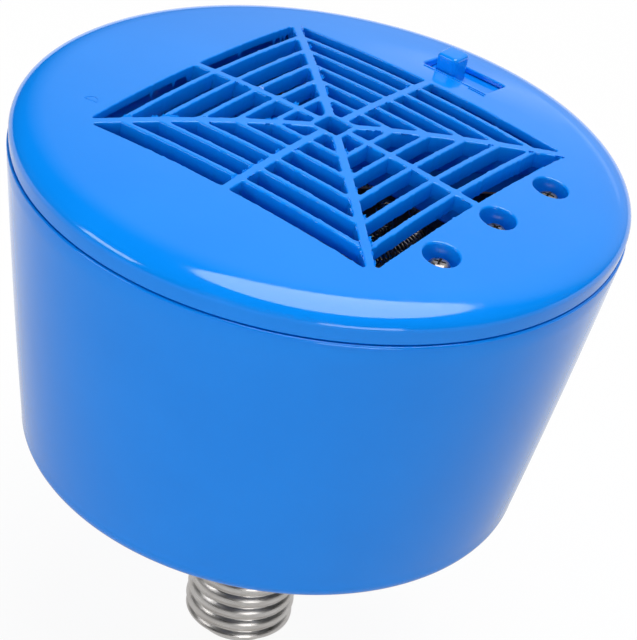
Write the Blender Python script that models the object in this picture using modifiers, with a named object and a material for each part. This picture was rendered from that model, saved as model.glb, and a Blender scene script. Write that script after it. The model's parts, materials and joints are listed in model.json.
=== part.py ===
"""Screw-in reptile heat lamp of the fan-heater kind.

A blue moulded drum with a domed lid stands on a screw cap. A square spider-web grille
in the lid lets the warm air out, a fan draws it in through slots in the drum's back,
and a coiled wire on two crossed boards heats it on the way.

Metres, +Z up along the axis of the screw cap, origin at the tip of the centre contact.
+X points at the side of the grille that has the row of three screws.
"""
import math

import bmesh
import bpy
from mathutils import Matrix, Vector

MM = 0.001

# Height of the dome's top above the tip of the contact
HEIGHT = 142.5 * MM
# Gap that neighbouring pieces keep
GAP = 0.3 * MM
# Sides of the large turned pieces, of middling and of small round ones
LARGE_SIDES = 48
MIDDLE_SIDES = 28
SMALL_SIDES = 16
TINY_SIDES = 12
# Lap of shapes that are joined, and the small step that keeps their faces apart
LAP = 0.6 * MM
STEP = 0.15 * MM

# Lid: a shallow dome with a rounded rim, a skirt outside the drum and a spigot inside it
LID_RADIUS = 68.6 * MM
DOME_RADIUS = 431 * MM
LID_WALL = 2.4 * MM
RIM_FILLET = 4.3 * MM
SKIRT_HEIGHT = 3.1 * MM
SKIRT_DRAFT = 0.3 * MM
GROOVE_DEPTH = 3.0 * MM
SPIGOT_DEPTH = 5.6 * MM
SPIGOT_WALL = 2.2 * MM
DOME_STEPS = 4

# Grille: a square web, its ribs parallel to its sides, its eight spokes crossing them
GRILLE_X = 1.7 * MM
GRILLE_Y = -1.1 * MM
GRILLE_HALF = 37.7 * MM
RIB_PITCH = 5.77 * MM
RIB_WIDTH = 1.5 * MM
RIB_DEPTH = 4.0 * MM
RIB_COUNT = 6
SIDE_SPOKE_WIDTH = 2.0 * MM
CORNER_SPOKE_WIDTH = 2.3 * MM
SPOKE_DEPTH = 9.0 * MM

# Three counterbored screws in a row beside the grille, each in a post under the lid
SCREW_ROW_FROM_GRILLE = 43.5 * MM
SCREW_SPACING = 21.4 * MM
COUNTERBORE_RADIUS = 4.3 * MM
COUNTERBORE_DEPTH = 6.2 * MM
POST_WALL = 1.5 * MM
POST_FLOOR = 2.0 * MM
SCREW_RADIUS = 1.5 * MM
SCREW_HEAD_RADIUS = 2.9 * MM
SCREW_HEAD_HEIGHT = 1.9 * MM
SCREW_LENGTH = 9.0 * MM
SCREW_BOSS_WALL = 1.6 * MM
SCREW_BOSS_LENGTH = 5.5 * MM

# Two posts on the far side, whose pins are melted over under the duct's flange
STAKE_CIRCLE = 51 * MM
STAKE_ANGLES = (160, 200)
STAKE_POST_RADIUS = 4.0 * MM
STAKE_PIN_RADIUS = 1.5 * MM
STAKE_HEAD_RADIUS = 2.8 * MM
STAKE_HEAD_HEIGHT = 1.4 * MM

# Slide switch: a recess in the lid beyond the grille, with a slit for the knob's stem
RECESS_X = 3.5 * MM
RECESS_Y = 49.5 * MM
RECESS_LENGTH = 17.6 * MM
RECESS_WIDTH = 8.5 * MM
RECESS_DEPTH = 2.0 * MM
RECESS_WALL = 1.6 * MM
KNOB_X = 1.1 * MM
KNOB_Y = 48.9 * MM
KNOB_LENGTH = 6.0 * MM
KNOB_WIDTH = 6.4 * MM
KNOB_HEIGHT = 5.2 * MM
KNOB_ROUND = 0.8 * MM
KNOB_TRAVEL = 7.6 * MM
STEM_LENGTH = 3.0 * MM
STEM_WIDTH = 2.0 * MM
STEM_DEPTH = 3.2 * MM
SWITCH_LENGTH = 20 * MM
SWITCH_WIDTH = 7.4 * MM
SWITCH_HEIGHT = 5.0 * MM
SWITCH_WALL = 1.0 * MM
TERMINAL_PITCH = 5.0 * MM
TERMINAL_LENGTH = 4.5 * MM
TERMINAL_WIDTH = 1.6 * MM
TERMINAL_THICKNESS = 0.6 * MM

# Drum: tapers towards its flat back, with a faint bulge in its side
DRUM_RADIUS = 66.3 * MM
DRUM_BACK_RADIUS = 58.0 * MM
DRUM_BULGE = 0.3 * MM
DRUM_WALL = 2.4 * MM
BACK_WALL = 2.6 * MM
BACK_BELOW_TOP = 86.2 * MM
BACK_FILLET = 3.8 * MM
VENT_COUNT = 16
VENT_INNER = 27 * MM
VENT_OUTER = 48 * MM
VENT_WIDTH = 4.0 * MM

# Neck on the drum's back, with a spigot that the screw cap is crimped on
NECK_RADIUS = 16.4 * MM
NECK_END_RADIUS = 15.0 * MM
NECK_FILLET = 3.0 * MM
NECK_BORE = 8.4 * MM
CAP_TOP = 27.5 * MM
CAP_SPIGOT_END = 9.5 * MM
LEAD_NOTCH_WIDTH = 2.8 * MM
LEAD_NOTCH_HEIGHT = 3.5 * MM

# Screw cap: the common 27 mm size
THREAD_RADIUS = 13.15 * MM
THREAD_ROOT = 12.1 * MM
THREAD_PITCH = 3.629 * MM
THREAD_LOW = 5.2 * MM
THREAD_HIGH = 26.6 * MM
THREAD_ROW = 0.92 * MM
THREAD_FADE = 1.6 * MM
THREAD_PHASE = 97
CAP_BORE = 11.5 * MM
CAP_MOUTH = 8.2 * MM
CAP_MOUTH_HEIGHT = 2.6 * MM
CAP_SHEET = 0.5 * MM
CAP_CONE_TOP = 6.4 * MM
CONTACT_RADIUS = 5.6 * MM
CONTACT_DOME = 1.2 * MM
CONTACT_STEM = 1.6 * MM
INSULATOR_TIP = 0.8 * MM

# Duct under the lid: a square tube, turned a little, then a round ring for the fan
DUCT_HALF = 38.3 * MM
DUCT_WALL = 1.4 * MM
DUCT_CORNER = 6.0 * MM
DUCT_TWIST = 2.8
DUCT_TUBE = 24 * MM
DUCT_FLANGE_RADIUS = 57 * MM
DUCT_FLANGE = 2.0 * MM
DUCT_FLOOR = 2.0 * MM
FAN_RING_RADIUS = 36 * MM
FAN_RING_WALL = 1.8 * MM
FAN_RING_LENGTH = 20 * MM
LUG_RADIUS = 4.4 * MM
LUG_HEIGHT = 9.0 * MM
LUG_PROUD = 0.4 * MM
LUG_ANGLES = (30, 150, 270)
SWITCH_NOTCH = 3.0 * MM
LEAD_HOLE_RADIUS = 1.5 * MM

# Heater: two crossed mica boards and one spiral of coiled wire through their holes
BOARD_HEIGHT = 16 * MM
BOARD_THICKNESS = 0.8 * MM
COIL_RADIUS = 2.2 * MM
COIL_FIRST_RADIUS = 9.0 * MM
COIL_SPACING = 7.6 * MM
COIL_TURNS = 3
COIL_OVERRUN = 18
COIL_STEP = 18
COIL_BELOW_BOARD_TOP = 5.0 * MM

# Fan and motor
HUB_RADIUS = 11 * MM
HUB_HEIGHT = 12 * MM
HUB_WALL = 1.6 * MM
HUB_BOSS_RADIUS = 3.2 * MM
FAN_TIP_GAP = 1.6 * MM
BLADE_COUNT = 7
BLADE_CHORD = 16 * MM
BLADE_THICKNESS = 1.2 * MM
BLADE_CAMBER = 1.6 * MM
BLADE_ROOT_PITCH = 40
BLADE_TIP_PITCH = 24
FAN_ABOVE_BRACKET = 4.0 * MM
SHAFT_RADIUS = 1.1 * MM
MOTOR_RADIUS = 11.5 * MM
MOTOR_LENGTH = 14 * MM
MOTOR_NOSE_RADIUS = 3.2 * MM
MOTOR_CAP_LENGTH = 3.2 * MM
BRACKET_THICKNESS = 1.2 * MM
BRACKET_PAD_RADIUS = 14.5 * MM
BRACKET_ARM_WIDTH = 9.0 * MM
BRACKET_SCREW_RADIUS = 1.2 * MM
BRACKET_SCREW_LENGTH = 7.0 * MM
BRACKET_HEAD_RADIUS = 2.5 * MM
BRACKET_HEAD_HEIGHT = 1.5 * MM

# Thermal cut-out and thermal fuse, on the outside of the duct's -Y wall
CUTOUT_ALONG = -12 * MM
CUTOUT_LENGTH = 16 * MM
CUTOUT_WIDTH = 7.5 * MM
CUTOUT_THICKNESS = 3.6 * MM
CUTOUT_PIN_SPACING = 4.0 * MM
FUSE_ALONG = 14 * MM
FUSE_RADIUS = 2.0 * MM
FUSE_LENGTH = 11 * MM
FUSE_BELOW_FLANGE = 9.0 * MM
LEAD_RADIUS = 0.9 * MM
LEAD_STEPS = 2

BLUE = (0.02, 0.20, 0.84)
BLACK = (0.012, 0.012, 0.013)
NICKEL = (0.62, 0.60, 0.57)
STEEL = (0.55, 0.55, 0.56)
MICA = (0.24, 0.17, 0.10)
WIRE = (0.33, 0.31, 0.30)
GLASS_GREY = (0.25, 0.24, 0.26)
RED = (0.45, 0.02, 0.015)


# Heights and places that several pieces share

def dome_height(radius):
    """Height of the lid's outer surface at a radius."""
    return HEIGHT - DOME_RADIUS + math.sqrt(DOME_RADIUS ** 2 - radius ** 2)


def polar(radius, degrees):
    """Point at a radius and an angle about the axis."""
    angle = math.radians(degrees)
    return radius * math.cos(angle), radius * math.sin(angle)


FILLET_ANGLE = math.asin((LID_RADIUS - RIM_FILLET) / DOME_RADIUS)
FILLET_START = LID_RADIUS - RIM_FILLET * (1 - math.sin(FILLET_ANGLE))
RIM_HEIGHT = dome_height(FILLET_START) - RIM_FILLET * math.cos(FILLET_ANGLE)
SEAM_HEIGHT = RIM_HEIGHT - SKIRT_HEIGHT
GROOVE_TOP = SEAM_HEIGHT + GROOVE_DEPTH
DRUM_TOP = GROOVE_TOP - GAP
BACK_HEIGHT = HEIGHT - BACK_BELOW_TOP
DRUM_FLOOR = BACK_HEIGHT + BACK_WALL
SPOKE_BOTTOM = HEIGHT - SPOKE_DEPTH
HUB_HOLE_HALF = GRILLE_HALF - RIB_COUNT * RIB_PITCH
SCREW_X = GRILLE_X + SCREW_ROW_FROM_GRILLE
POST_RADIUS = COUNTERBORE_RADIUS + POST_WALL
COUNTERBORE_FLOOR = dome_height(SCREW_X) - COUNTERBORE_DEPTH
POST_END = COUNTERBORE_FLOOR - POST_FLOOR
FLANGE_TOP = POST_END - GAP
FLANGE_BOTTOM = FLANGE_TOP - DUCT_FLANGE
DUCT_OUTER = DUCT_HALF + DUCT_WALL
TUBE_BOTTOM = FLANGE_TOP - DUCT_TUBE
FLOOR_TOP = TUBE_BOTTOM + STEP + DUCT_FLOOR
RING_BOTTOM = TUBE_BOTTOM - FAN_RING_LENGTH
BOARD_BOTTOM = FLOOR_TOP + GAP
BOARD_TOP = BOARD_BOTTOM + BOARD_HEIGHT
BOARD_ANGLE = 45 + DUCT_TWIST
COIL_HEIGHT = BOARD_TOP - COIL_BELOW_BOARD_TOP
LUG_CIRCLE = FAN_RING_RADIUS + FAN_RING_WALL + LUG_RADIUS - 2 * LAP
BRACKET_TOP = RING_BOTTOM - LUG_PROUD - GAP
BRACKET_BOTTOM = BRACKET_TOP - BRACKET_THICKNESS
HUB_BOTTOM = BRACKET_TOP + FAN_ABOVE_BRACKET
HUB_TOP = HUB_BOTTOM + HUB_HEIGHT
MOTOR_TOP = BRACKET_BOTTOM - STEP - GAP
MOTOR_BOTTOM = MOTOR_TOP - MOTOR_LENGTH
MOTOR_CAP_TOP = MOTOR_BOTTOM - GAP
MOTOR_CAP_BOTTOM = MOTOR_CAP_TOP - MOTOR_CAP_LENGTH
RECESS_FLOOR = dome_height(math.hypot(RECESS_X, RECESS_Y)) - RECESS_DEPTH
KNOB_BOTTOM = RECESS_FLOOR + GAP
KNOB_TOP = RECESS_FLOOR + RECESS_DEPTH + KNOB_HEIGHT
SLIT_X = KNOB_X + KNOB_TRAVEL / 2
SLIT_LENGTH = STEM_LENGTH + KNOB_TRAVEL + 2 * GAP
SLIT_WIDTH = STEM_WIDTH + 2 * GAP
SWITCH_TOP = RECESS_FLOOR - RECESS_WALL - GAP
SWITCH_BOTTOM = SWITCH_TOP - SWITCH_HEIGHT
TERMINAL_TOP = SWITCH_BOTTOM - GAP
TERMINAL_BOTTOM = TERMINAL_TOP - TERMINAL_LENGTH
INSULATOR_TOP = CAP_SPIGOT_END - GAP
CUTOUT_BOTTOM = FLANGE_BOTTOM - GAP - CUTOUT_LENGTH
FUSE_TOP = FLANGE_BOTTOM - FUSE_BELOW_FLANGE
FUSE_BOTTOM = FUSE_TOP - FUSE_LENGTH

# Where two leads pass through the duct: its +Y side and its -X side
HEATER_HOLE = (3 * MM, DUCT_HALF, COIL_HEIGHT)
RETURN_HOLE = (-DUCT_HALF, -8 * MM, BOARD_TOP + COIL_RADIUS)


def drum_radius(height):
    """Outer radius of the drum's side at a height."""
    share = (SEAM_HEIGHT - height) / (SEAM_HEIGHT - BACK_HEIGHT - BACK_FILLET)
    taper = DRUM_RADIUS + (DRUM_BACK_RADIUS - DRUM_RADIUS) * share
    return taper + 4 * DRUM_BULGE * max(share, 0) * (1 - share)


def screw_places():
    """Middles of the three lid screws."""
    return [(SCREW_X, GRILLE_Y + SCREW_SPACING * row) for row in (-1, 0, 1)]


def on_duct(along, out):
    """Point on the duct's -Y side, turned with the duct."""
    angle = math.radians(DUCT_TWIST)
    x, y = along, -out
    return x * math.cos(angle) - y * math.sin(angle), x * math.sin(angle) + y * math.cos(angle)


def coil_radius(degrees):
    """Distance of the heating coil from the axis, after so many degrees of its spiral."""
    return COIL_FIRST_RADIUS + COIL_SPACING * degrees / 360


def coil_point(degrees):
    x, y = polar(coil_radius(degrees), BOARD_ANGLE + degrees)
    return x, y, COIL_HEIGHT


def coil_end(end):
    """Where a lead meets the coil: end 1 is its outer end, -1 its inner one."""
    degrees = 360 * COIL_TURNS + COIL_OVERRUN if end == 1 else -COIL_OVERRUN
    x, y, height = coil_point(degrees)
    tangent = polar(2 * GAP * end, BOARD_ANGLE + degrees + 90)
    return x + tangent[0], y + tangent[1], height


def terminal_end(index, below=GAP):
    """Where a lead meets a switch terminal, just under it, or a point further below."""
    return SLIT_X + TERMINAL_PITCH * (index - 1), KNOB_Y, TERMINAL_BOTTOM - below


# Scene, collections and materials

def clear_scene():
    for item in list(bpy.data.objects):
        bpy.data.objects.remove(item, do_unlink=True)
    for item in list(bpy.data.collections):
        bpy.data.collections.remove(item)


def new_collection(name):
    collection = bpy.data.collections.new(name)
    bpy.context.scene.collection.children.link(collection)
    return collection


def new_material(name, colour, roughness, metallic=0.0):
    material = bpy.data.materials.new(name)
    material.use_nodes = True
    shader = material.node_tree.nodes["Principled BSDF"]
    shader.inputs["Base Color"].default_value = (*colour, 1.0)
    shader.inputs["Roughness"].default_value = roughness
    shader.inputs["Metallic"].default_value = metallic
    material.diffuse_color = (*colour, 1.0)
    return material


clear_scene()
PARTS = new_collection("reptile_heat_lamp")
CUTTERS = new_collection("cutters")
BLUE_PLASTIC = new_material("blue_plastic", BLUE, 0.25)
BLACK_PLASTIC = new_material("black_plastic", BLACK, 0.45)
NICKEL_PLATE = new_material("nickel_plate", NICKEL, 0.25, 1.0)
STEEL_SHEET = new_material("steel_sheet", STEEL, 0.35, 1.0)
MICA_SHEET = new_material("mica_sheet", MICA, 0.4)
HEATING_WIRE = new_material("heating_wire", WIRE, 0.35, 1.0)
GREY_GLASS = new_material("grey_glass", GLASS_GREY, 0.2)
RED_SLEEVE = new_material("red_sleeve", RED, 0.45)


# Tools

def add_piece(name, mesh, material):
    """A finished piece of the lamp."""
    piece = bpy.data.objects.new(name, mesh)
    piece.data.materials.append(material)
    PARTS.objects.link(piece)
    return piece


def add_cutter(name, mesh):
    """A helper shape that other pieces are cut or joined with."""
    cutter = bpy.data.objects.new(name, mesh)
    cutter.hide_render = True
    cutter.display_type = 'WIRE'
    CUTTERS.objects.link(cutter)
    return cutter


def turn(item, sides):
    """Turn an object's profile about Z."""
    screw = item.modifiers.new("turn", 'SCREW')
    screw.axis = 'Z'
    screw.steps = sides
    screw.render_steps = sides
    screw.use_merge_vertices = True
    screw.merge_threshold = 0.00001
    return item


def profile_mesh(name, points, closed):
    """A profile in the XZ plane, from (radius, height) points."""
    mesh = bpy.data.meshes.new(name)
    count = len(points)
    edges = [(index, index + 1) for index in range(count - 1)]
    if closed:
        edges.append((count - 1, 0))
    mesh.from_pydata([(radius, 0, height) for radius, height in points], edges, [])
    return mesh


def turned_piece(name, points, material, closed=True, sides=LARGE_SIDES):
    return turn(add_piece(name, profile_mesh(name, points, closed), material), sides)


def turned_cutter(name, points, closed=True, sides=LARGE_SIDES):
    return turn(add_cutter(name, profile_mesh(name, points, closed)), sides)


def arc(centre_radius, centre_height, radius, first, last, steps):
    """Points along an arc in the profile plane, angles in degrees from +X."""
    points = []
    for step in range(steps + 1):
        angle = math.radians(first + (last - first) * step / steps)
        points.append((centre_radius + radius * math.cos(angle),
                       centre_height + radius * math.sin(angle)))
    return points


def boolean(item, other, operation):
    modifier = item.modifiers.new(f"{operation.lower()}_{other.name}", 'BOOLEAN')
    modifier.operation = operation
    modifier.solver = 'EXACT'
    modifier.object = other


def bevel(item, width, segments=2):
    modifier = item.modifiers.new("round_edges", 'BEVEL')
    modifier.width = width
    modifier.segments = segments
    modifier.limit_method = 'ANGLE'
    modifier.angle_limit = math.radians(50)


def join_shapes(name, shapes):
    """One mesh of several bmesh shapes, which stay separate bodies."""
    mesh = bpy.data.meshes.new(name)
    joined = bmesh.new()
    for shape in shapes:
        part = bpy.data.meshes.new("shape")
        shape.to_mesh(part)
        shape.free()
        joined.from_mesh(part)
        bpy.data.meshes.remove(part)
    joined.to_mesh(mesh)
    joined.free()
    return mesh


def cut(item, name, shapes, operation='DIFFERENCE'):
    """Cut an item with shapes that don't meet each other, or join them to it."""
    boolean(item, add_cutter(name, join_shapes(name, shapes)), operation)


def cylinder(radius, low, high, x=0.0, y=0.0, sides=SMALL_SIDES):
    """An upright cylinder between two heights."""
    shape = bmesh.new()
    place = Matrix.Translation((x, y, (low + high) / 2))
    bmesh.ops.create_cone(shape, cap_ends=True, segments=sides, radius1=radius,
                          radius2=radius, depth=high - low, matrix=place)
    return shape


def wall_hole(radius, x, y, height, degrees, length):
    """A level cylinder that points along an angle."""
    shape = bmesh.new()
    place = Matrix.Translation((x, y, height)) @ Matrix.Rotation(math.radians(degrees), 4, 'Z')
    place = place @ Matrix.Rotation(math.pi / 2, 4, 'Y')
    bmesh.ops.create_cone(shape, cap_ends=True, segments=TINY_SIDES, radius1=radius,
                          radius2=radius, depth=length, matrix=place)
    return shape


def box(length, width, low, high, x=0.0, y=0.0):
    """An upright box between two heights."""
    shape = bmesh.new()
    place = Matrix.Translation((x, y, (low + high) / 2))
    place = place @ Matrix.Diagonal((length, width, high - low, 1))
    bmesh.ops.create_cube(shape, size=1, matrix=place)
    return shape


def flat_mesh(name, outlines, low, high, place=None):
    """A flat plate between two heights, from closed outlines; an inner one is a hole."""
    curve = bpy.data.curves.new(name, 'CURVE')
    curve.dimensions = '2D'
    curve.fill_mode = 'BOTH'
    curve.extrude = (high - low) / 2
    for outline in outlines:
        spline = curve.splines.new('POLY')
        spline.points.add(len(outline) - 1)
        spline.use_cyclic_u = True
        for point, (x, y) in zip(spline.points, outline):
            point.co = (x, y, 0, 1)
    drawn = bpy.data.objects.new(name, curve)
    bpy.context.scene.collection.objects.link(drawn)
    raised = Matrix.Translation((0, 0, (low + high) / 2))
    drawn.matrix_world = raised if place is None else place @ raised
    bpy.context.view_layer.update()
    graph = bpy.context.evaluated_depsgraph_get()
    mesh = bpy.data.meshes.new_from_object(drawn.evaluated_get(graph))
    mesh.transform(drawn.matrix_world)
    bpy.data.objects.remove(drawn, do_unlink=True)
    bpy.data.curves.remove(curve)
    shape = bmesh.new()
    shape.from_mesh(mesh)
    bmesh.ops.remove_doubles(shape, verts=shape.verts, dist=0.000001)
    bmesh.ops.recalc_face_normals(shape, faces=shape.faces)
    shape.to_mesh(mesh)
    shape.free()
    mesh.name = name
    return mesh


def circle_outline(radius, x=0.0, y=0.0, sides=SMALL_SIDES):
    return [(x + radius * math.cos(2 * math.pi * side / sides),
             y + radius * math.sin(2 * math.pi * side / sides)) for side in range(sides)]


def square_outline(half, x=0.0, y=0.0):
    return [(x - half, y - half), (x + half, y - half), (x + half, y + half), (x - half, y + half)]


def round_square_outline(half, corner, twist, steps=3):
    """A square with rounded corners, turned by a few degrees."""
    points = []
    for quarter in range(4):
        centre_x, centre_y = polar((half - corner) * math.sqrt(2), 90 * quarter + 45)
        for step in range(steps + 1):
            x, y = polar(corner, 90 * (quarter + step / steps))
            points.append((centre_x + x, centre_y + y))
    turn_by = Matrix.Rotation(math.radians(twist), 2)
    return [tuple(turn_by @ Vector(point)) for point in points]


def stadium_outline(inner, outer, width, degrees, steps=4):
    """A slot with round ends that points away from the axis."""
    half = width / 2
    points = []
    for centre, start in ((outer - half, -90), (inner + half, 90)):
        for step in range(steps + 1):
            x, y = polar(half, start + 180 * step / steps)
            points.append((centre + x, y))
    turn_by = Matrix.Rotation(math.radians(degrees), 2)
    return [tuple(turn_by @ Vector(point)) for point in points]


def star_outline(arms, x=0.0, y=0.0):
    """Straight arms from one middle; each arm is an angle, a half width and a reach."""
    points = []
    for index, (degrees, half, reach) in enumerate(arms):
        next_degrees, next_half, next_reach = arms[(index + 1) % len(arms)]
        along = Vector(polar(1, degrees))
        across = Vector((-along.y, along.x))
        between = math.radians(next_degrees - degrees)
        crotch = (next_half + half * math.cos(between)) / math.sin(between)
        points += [along * reach - across * half, along * reach + across * half,
                   along * crotch + across * half]
    return [(x + point.x, y + point.y) for point in points]


def smooth_route(points, steps=LEAD_STEPS):
    """A smooth curve through the points of a lead's route."""
    ends = [points[0]] + list(points) + [points[-1]]
    route = []
    for index in range(1, len(ends) - 2):
        before, start, end, after = (Vector(point) for point in ends[index - 1:index + 3])
        for step in range(steps):
            share = step / steps
            route.append(0.5 * (2 * start + (end - before) * share
                                + (2 * before - 5 * start + 4 * end - after) * share ** 2
                                + (3 * start - before - 3 * end + after) * share ** 3))
    route.append(Vector(points[-1]))
    return route


def tube(name, route, radius, material, roundness=1):
    """A wire or lead along a route."""
    curve = bpy.data.curves.new(name, 'CURVE')
    curve.dimensions = '3D'
    curve.bevel_depth = radius
    curve.bevel_resolution = roundness
    curve.use_fill_caps = True
    spline = curve.splines.new('POLY')
    spline.points.add(len(route) - 1)
    for point, place in zip(spline.points, route):
        point.co = (*place, 1)
    return add_piece(name, curve, material)


# The lid with its web grille

def lid_profile():
    """Dome, rim, skirt, groove for the drum's edge, spigot, and the dome's underside."""
    points = []
    for step in range(DOME_STEPS + 1):
        radius = FILLET_START * step / DOME_STEPS
        points.append((radius, dome_height(radius)))
    first = 90 - math.degrees(FILLET_ANGLE)
    points += arc(LID_RADIUS - RIM_FILLET, RIM_HEIGHT, RIM_FILLET, first, 0, 4)[1:]
    groove_outer = drum_radius(GROOVE_TOP) + GAP
    spigot_end = SEAM_HEIGHT - SPIGOT_DEPTH
    spigot_top = drum_radius(GROOVE_TOP) - DRUM_WALL - GAP
    spigot_low = drum_radius(spigot_end) - DRUM_WALL - GAP
    inside = spigot_low - SPIGOT_WALL
    points += [(LID_RADIUS - SKIRT_DRAFT, SEAM_HEIGHT),
               (groove_outer, SEAM_HEIGHT),
               (groove_outer, GROOVE_TOP),
               (spigot_top, GROOVE_TOP),
               (spigot_low, spigot_end),
               (inside, spigot_end)]
    for step in range(DOME_STEPS, -1, -1):
        radius = inside * step / DOME_STEPS
        points.append((radius, dome_height(radius) - LID_WALL))
    return points


def dome_slab(name, radius, upper, lower, steps=2):
    """A turned slab between two surfaces, each given as a height for a radius."""
    radii = [radius * step / steps for step in range(steps + 1)]
    points = [(place, upper(place)) for place in radii]
    points += [(place, lower(place)) for place in reversed(radii)]
    return turned_cutter(name, points, closed=False, sides=SMALL_SIDES)


def under_dome(depth):
    """Surface that lies a depth under the dome."""
    return lambda radius: dome_height(radius) - depth


def rib_line(index):
    """Distance of a rib's middle from the grille's centre; rib 0 is the small hub square."""
    return HUB_HOLE_HALF + RIB_WIDTH / 2 + index * RIB_PITCH


def slot_outlines():
    """The web's openings: the hub's, and for each side two rows of slots beside a spoke."""
    beside_corner = CORNER_SPOKE_WIDTH / math.sqrt(2)
    beside_side = SIDE_SPOKE_WIDTH / 2
    outlines = [square_outline(HUB_HOLE_HALF, GRILLE_X, GRILLE_Y)]
    for quarter in range(4):
        turn_by = Matrix.Rotation(math.radians(90 * quarter), 2)
        for index in range(RIB_COUNT):
            near = rib_line(index) + RIB_WIDTH / 2
            far = rib_line(index + 1) - RIB_WIDTH / 2
            for side in (1, -1):
                corners = [(near, beside_side), (far, beside_side),
                           (far, far - beside_corner), (near, near - beside_corner)]
                placed = [turn_by @ Vector((x, side * y)) for x, y in corners]
                outlines.append([(GRILLE_X + point.x, GRILLE_Y + point.y) for point in placed])
    return outlines


def spoke_star(widen, reach):
    """Outline of the eight spokes, which end at the grille's edge."""
    arms = []
    for quarter in range(4):
        arms.append((90 * quarter, SIDE_SPOKE_WIDTH / 2 + widen, GRILLE_HALF + reach))
        arms.append((90 * quarter + 45, CORNER_SPOKE_WIDTH / 2 + widen,
                     GRILLE_HALF * math.sqrt(2) + reach))
    return star_outline(arms, GRILLE_X, GRILLE_Y)


def make_grille(lid):
    """Deepen the web's ribs, cut its slots, and add the deep spokes and the hub's hole."""
    above = HEIGHT + RIB_DEPTH
    below = SPOKE_BOTTOM - RIB_DEPTH
    corner = GRILLE_HALF * math.sqrt(2) + 2 * RIB_DEPTH
    inside = 2 * (GRILLE_HALF - STEP)
    pad = dome_slab("grille_pad", corner, under_dome(LID_WALL / 2), under_dome(RIB_DEPTH))
    cut(pad, "grille_square", [box(inside, inside, below, above, GRILLE_X, GRILLE_Y)], 'INTERSECT')
    boolean(lid, pad, 'UNION')
    slots = add_cutter("grille_slots", flat_mesh("grille_slots", slot_outlines(), below, above))
    boolean(lid, slots, 'DIFFERENCE')
    spokes = dome_slab("spokes", corner, under_dome(LID_WALL / 2), lambda radius: SPOKE_BOTTOM)
    star = add_cutter("spoke_star", flat_mesh("spoke_star", [spoke_star(-STEP, LAP)], below, above))
    boolean(spokes, star, 'INTERSECT')
    hub = 2 * (HUB_HOLE_HALF + STEP)
    cut(spokes, "hub_hole", [box(hub, hub, below, above, GRILLE_X, GRILLE_Y)])
    boolean(lid, spokes, 'UNION')


def make_screw_posts(lid):
    posts = []
    bores = []
    holes = []
    for x, y in screw_places():
        top = dome_height(math.hypot(x, y)) - LID_WALL / 2
        posts.append(cylinder(POST_RADIUS, POST_END, top, x, y))
        bores.append(cylinder(COUNTERBORE_RADIUS, COUNTERBORE_FLOOR, HEIGHT, x, y, 2 * TINY_SIDES))
        holes.append(cylinder(SCREW_RADIUS + GAP, POST_END - POST_FLOOR,
                              COUNTERBORE_FLOOR + POST_FLOOR, x, y, TINY_SIDES))
    cut(lid, "screw_posts", posts, 'UNION')
    cut(lid, "counterbores", bores)
    cut(lid, "screw_holes", holes)


def make_stakes(lid):
    """Posts with pins whose ends are melted into heads under the duct's flange."""
    head_top = FLANGE_BOTTOM - GAP
    posts = []
    pins = []
    heads = []
    for degrees in STAKE_ANGLES:
        x, y = polar(STAKE_CIRCLE, degrees)
        top = dome_height(STAKE_CIRCLE) - LID_WALL / 2
        posts.append(cylinder(STAKE_POST_RADIUS, POST_END, top, x, y))
        pins.append(cylinder(STAKE_PIN_RADIUS, head_top - STAKE_HEAD_HEIGHT / 2,
                             POST_END + LID_WALL, x, y, TINY_SIDES))
        heads.append(cylinder(STAKE_HEAD_RADIUS, head_top - STAKE_HEAD_HEIGHT, head_top, x, y))
    cut(lid, "stake_posts", posts, 'UNION')
    cut(lid, "stake_pins", pins, 'UNION')
    cut(lid, "stake_heads", heads, 'UNION')


def make_switch_recess(lid):
    """The knob's recess: a floor under the plate, a hollow in it and a slit for the stem."""
    cut(lid, "recess_floor", [box(RECESS_LENGTH + 2 * RECESS_WALL, RECESS_WIDTH + 2 * RECESS_WALL,
                                  RECESS_FLOOR - RECESS_WALL, RECESS_FLOOR + LAP,
                                  RECESS_X, RECESS_Y)], 'UNION')
    cut(lid, "recess_hollow", [box(RECESS_LENGTH, RECESS_WIDTH, RECESS_FLOOR, HEIGHT,
                                   RECESS_X, RECESS_Y)])
    cut(lid, "stem_slit", [box(SLIT_LENGTH, SLIT_WIDTH, RECESS_FLOOR - 2 * RECESS_WALL,
                               RECESS_FLOOR + RECESS_WALL, SLIT_X, KNOB_Y)])


def make_lid():
    lid = turned_piece("front_lid", lid_profile(), BLUE_PLASTIC, closed=False)
    make_grille(lid)
    make_screw_posts(lid)
    make_stakes(lid)
    make_switch_recess(lid)


# The drum

def drum_profile():
    """Side, rounded back edge, back, neck, spigot and bore, and the inside."""
    side_end = BACK_HEIGHT + BACK_FILLET
    steps = 3
    heights = [DRUM_TOP + (side_end - DRUM_TOP) * step / steps for step in range(steps + 1)]
    neck_end = CAP_TOP + GAP
    neck_edge = NECK_FILLET / 3
    points = [(drum_radius(height), height) for height in heights]
    points += arc(DRUM_BACK_RADIUS - BACK_FILLET, side_end, BACK_FILLET, 0, -90, 3)[1:]
    points += arc(NECK_RADIUS + NECK_FILLET, BACK_HEIGHT - NECK_FILLET, NECK_FILLET, 90, 180, 3)
    points += [(NECK_END_RADIUS, neck_end + neck_edge),
               (NECK_END_RADIUS - neck_edge, neck_end),
               (CAP_BORE - GAP, neck_end),
               (CAP_BORE - GAP, CAP_SPIGOT_END),
               (NECK_BORE, CAP_SPIGOT_END),
               (NECK_BORE, DRUM_FLOOR)]
    inner_fillet = BACK_FILLET - DRUM_WALL
    inside = DRUM_BACK_RADIUS - DRUM_WALL
    points += arc(inside - inner_fillet, DRUM_FLOOR + inner_fillet, inner_fillet, -90, 0, 2)
    points += [(drum_radius(height) - DRUM_WALL, height) for height in reversed(heights[:-1])]
    return points


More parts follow.
